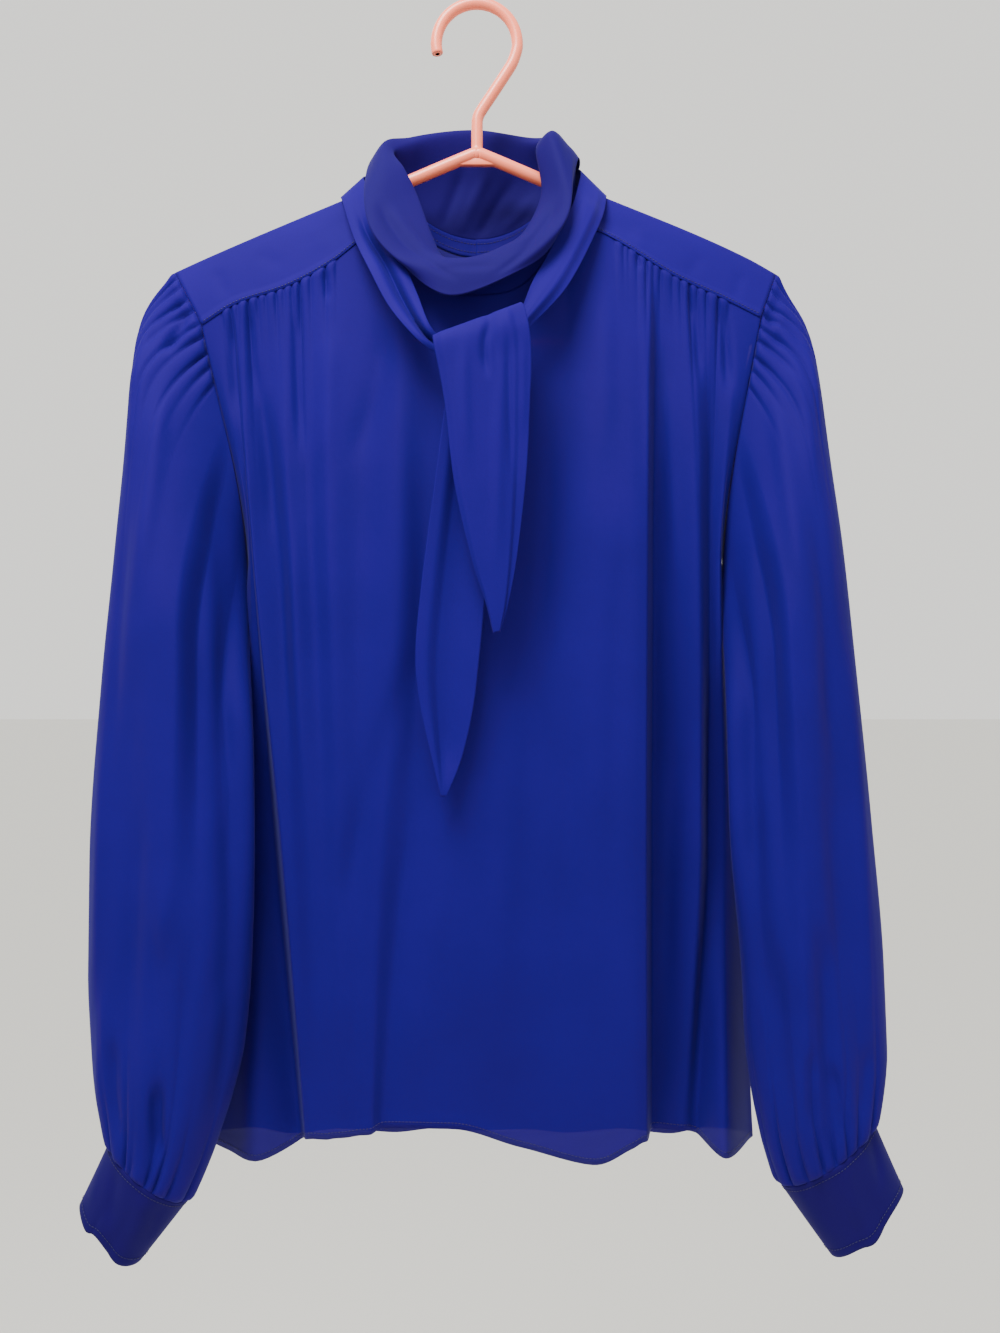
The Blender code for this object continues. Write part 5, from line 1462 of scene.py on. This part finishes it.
def add_knot(cloth):
    """The wrap of the knot, behind the top of the front tail."""
    turns = np.arange(96) / 96 * 2 * np.pi
    rows = []
    for share in np.linspace(0, 1, 16):
        wide = KNOT_HALF_WIDTH + 2 * np.sin(np.pi * share)
        deep = KNOT_HALF_DEPTH + 0.7 * np.sin(np.pi * share)
        crush = 0.35 * np.sin(5 * turns + 6 * share)
        x = KNOT_X + wide * np.cos(turns)
        y = KNOT_Y - (deep + crush) * np.sin(turns)
        z = KNOT_TOP_Z - KNOT_HEIGHT * share + KNOT_SLOPE * (x - KNOT_X)
        rows.append(np.stack([x, y, z], axis=-1))
    knot = shell("tie_knot_cloth", np.array(rows), cloth, closed=True, thickness=TIE_THICKNESS)
    add_piece(knot, "doubled_georgette", "tie_knot")


def fine_path(path, radius, share):
    """More points on a path, on a round curve through the given ones."""
    keys = np.arange(len(path))
    at = np.linspace(0, len(path) - 1, (len(path) - 1) * share + 1)
    return round_curve(keys, path, at), np.interp(at, keys, radius)


def tube_parts(path, radius, sides, closed=False):
    """Points and faces of a round rod along a path in the XZ plane."""
    path = np.asarray(path, float)
    if closed:
        along = np.roll(path, -1, axis=0) - np.roll(path, 1, axis=0)
    else:
        along = np.gradient(path, axis=0)
    along /= np.linalg.norm(along, axis=1, keepdims=True)
    side = np.stack([along[:, 2], np.zeros(len(path)), -along[:, 0]], axis=-1)
    turn = np.arange(sides) / sides * 2 * np.pi
    radii = np.broadcast_to(radius, (len(path),))[:, None, None]
    out = side[:, None] * np.cos(turn)[None, :, None]
    out = out + np.array([0.0, 1.0, 0.0]) * np.sin(turn)[None, :, None]
    points = (path[:, None] + out * radii).reshape(-1, 3)
    count = len(path)
    faces = []
    for row in range(count if closed else count - 1):
        below = (row + 1) % count
        for col in range(sides):
            right = (col + 1) % sides
            faces.append(
                (row * sides + col, row * sides + right, below * sides + right, below * sides + col)
            )
    if not closed:
        faces.append(tuple(range(sides)))
        faces.append(tuple((count - 1) * sides + col for col in reversed(range(sides))))
    return points, faces


def join_parts(parts):
    points = []
    faces = []
    for part_points, part_faces in parts:
        base = len(points)
        points.extend(np.asarray(part_points).tolist())
        faces.extend(tuple(base + v for v in face) for face in part_faces)
    return np.array(points), faces


def add_hanger(plastic):
    path, radius = hook_path()
    path, radius = fine_path(path, radius, 5)
    tip = path[0] + (path[0] - path[1]) * 0.8
    path = np.concatenate([[tip], path])
    radius = np.concatenate([[NECK_ROD_RADIUS * 0.4], radius])
    parts = [tube_parts(path, radius, 28)]
    loop = frame_path()
    keys = np.arange(len(loop) + 1)
    at = np.linspace(0, len(loop), len(loop) * 5, endpoint=False)
    around = round_curve(keys[:-1], loop, at, len(loop))
    parts.append(tube_parts(around, ROD_RADIUS, 28, closed=True))
    for sign in (-1, 1):
        arm_z = APEX_Z - ARM_SLOPE * STRAP_X
        line = np.array([(sign * (STRAP_X + x), 0, arm_z + z) for x, z in STRAP_HOOK])
        line, radius = fine_path(line, np.full(len(line), STRAP_RADIUS), 5)
        parts.append(tube_parts(line, radius, 16))
        stub_z = APEX_Z - ARM_SLOPE * STUB_X
        stub = [(sign * STUB_X, 0, stub_z), (sign * STUB_X, 0, stub_z - STUB_LENGTH)]
        parts.append(tube_parts(stub, STRAP_RADIUS, 16))
    points, faces = join_parts(parts)
    hanger = mesh_object("hanger_moulded", points * MM, faces, plastic)
    add_piece(hanger, "hanger_plastic", "hanger")
    count = len(WEB_OUTLINE)
    points = [(x, y, z) for y in (-WEB_HALF_DEPTH, WEB_HALF_DEPTH) for x, z in WEB_OUTLINE]
    sides = [tuple(range(count)), tuple(reversed(range(count, 2 * count)))]
    for first in range(count):
        after = (first + 1) % count
        sides.append((after, first, count + first, count + after))
    plate = mesh_object("hanger_web", np.array(points) * MM, sides, plastic)
    bevel = plate.modifiers.new("soft_edges", "BEVEL")
    bevel.width = 0.0005
    bevel.segments = 2
    add_piece(plate, "hanger_plastic")


def add_button(plastic, seam_thread):
    centre = np.array([BUTTON_X, NECK_BACK_Y + BUTTON_OUT, BUTTON_Z])
    sides = BUTTON_SIDES
    turn = np.arange(sides) / sides * 2 * np.pi
    rings = []
    for radius, depth in BUTTON_PROFILE:
        x = centre[0] + radius * np.cos(turn)
        z = centre[2] + radius * np.sin(turn)
        rings.append(np.stack([x, np.full_like(x, centre[1] + depth), z], axis=-1))
    points = np.concatenate(rings)
    faces = []
    for row in range(len(rings) - 1):
        here = row * sides
        after = here + sides
        for col in range(sides):
            right = (col + 1) % sides
            faces.append((here + col, here + right, after + right, after + col))
    faces.append(tuple(range(sides)))
    faces.append(tuple(reversed(range(len(points) - sides, len(points)))))
    button = mesh_object("neck_button_moulded", points * MM, faces, plastic)
    add_piece(button, "button_plastic", "neck_button")
    eyes = []
    for sign in (-1, 1):
        spots = [(sign * 1.1, 1.7, rise) for rise in (-1.3, 0, 1.3)]
        line = centre + np.array(spots)
        line, radius = fine_path(line, np.full(3, 0.22), 4)
        eyes.append(tube_parts(line, radius, 8))
    across = NECK_BACK_Y - BAND_THICKNESS / 2 - 0.12
    for dx in (-0.8, 0.8):
        spots = [(centre[0] + dx * s, across, centre[2] + 1.3 * s) for s in (-1, 0, 1)]
        line = np.array(spots)
        line, radius = fine_path(line, np.full(3, 0.2), 4)
        eyes.append(tube_parts(line, radius, 8))
    points, faces = join_parts(eyes)
    sewn = mesh_object("button_threads", points * MM, faces, seam_thread)
    add_piece(sewn, "button_plastic")
    half = OPENING_WIDTH / 2 + 0.6
    arc = np.linspace(math.pi / 2, -math.pi / 2, 13)
    bow = [(half - 2 - 9.5 * math.cos(a), NECK_BACK_Y + 1.6, BUTTON_Z + 4.2 * math.sin(a)) for a in arc]
    loop_points, loop_faces = tube_parts(np.array(bow), 0.35, 8)
    loop = mesh_object("button_loop", loop_points * MM, loop_faces, seam_thread)
    add_piece(loop, "doubled_georgette")


def add_stage():
    floor = mesh_object(
        "floor",
        np.array([(-30, -30, 0), (30, -30, 0), (30, 30, 0), (-30, 30, 0)]) + np.array([0, 0, FLOOR_Z]),
        [(0, 1, 2, 3)],
        plain_paint("floor paint", (0.86, 0.85, 0.81)),
    )
    world = bpy.data.worlds.new("pale studio")
    world.use_nodes = True
    sky = world.node_tree.nodes["Background"]
    sky.inputs["Color"].default_value = (0.93, 0.92, 0.88, 1.0)
    sky.inputs["Strength"].default_value = WORLD_STRENGTH
    bpy.context.scene.world = world
    for name, place, size, power in LIGHTS:
        data = bpy.data.lights.new(name, "AREA")
        data.size = size
        data.energy = power
        lamp = bpy.data.objects.new(name, data)
        lamp.location = place
        aim = Vector(AIM) - Vector(place)
        lamp.rotation_mode = "QUATERNION"
        lamp.rotation_quaternion = aim.to_track_quat("-Z", "Y")
        bpy.context.scene.collection.objects.link(lamp)


def plain_paint(name, colour):
    material = bpy.data.materials.new(name)
    material.use_nodes = True
    shader = material.node_tree.nodes["Principled BSDF"]
    shader.inputs["Base Color"].default_value = (*colour, 1.0)
    shader.inputs["Roughness"].default_value = 0.9
    return material


def add_camera():
    data = bpy.data.cameras.new("photo camera")
    data.sensor_fit = "VERTICAL"
    data.sensor_height = 36.0
    data.lens = 36.0 * CAMERA_DISTANCE / (1333 * PIXEL_SIZE)
    camera = bpy.data.objects.new("photo camera", data)
    camera.location = (CAMERA_X, -CAMERA_DISTANCE, CAMERA_Z)
    camera.rotation_euler = (math.radians(90), 0, 0)
    bpy.context.scene.collection.objects.link(camera)
    bpy.context.scene.camera = camera


def main():
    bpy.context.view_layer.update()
    add_camera()
    add_stage()
    sheer = georgette("sheer georgette", CLOTH_LIGHT, CLOTH_DARK, SHEER_ALPHA)
    double = georgette("doubled georgette", CLOTH_LIGHT, CLOTH_DARK, DOUBLE_ALPHA)
    dense = georgette("folded georgette", DENSE_LIGHT, DENSE_DARK, DENSE_ALPHA)
    plastic = moulded_plastic("salmon plastic", (1.0, 0.23, 0.13), (0.95, 0.19, 0.1), 0.3)
    button = moulded_plastic("blue button", (0.04, 0.04, 0.5), (0.03, 0.03, 0.42), 0.2)
    sewing = thread("blue thread", (0.005, 0.003, 0.075))
    add_hanger(plastic)
    add_front(sheer, sewing)
    add_back(sheer, sewing)
    for side in ("left", "right"):
        add_yoke(side, double, sewing)
        add_sleeve(side, sheer)
        add_cuff(side, dense, sewing)
    add_neck_band(double, sewing)
    add_collar(dense)
    add_ties(double)
    add_knot(double)
    add_button(button, sewing)


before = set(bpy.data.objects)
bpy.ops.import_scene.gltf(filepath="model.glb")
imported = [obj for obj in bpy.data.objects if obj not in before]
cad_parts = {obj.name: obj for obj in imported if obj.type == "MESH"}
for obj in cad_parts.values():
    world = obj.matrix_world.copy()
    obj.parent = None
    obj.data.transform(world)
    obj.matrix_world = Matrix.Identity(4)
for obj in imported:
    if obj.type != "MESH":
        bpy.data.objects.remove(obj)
main()
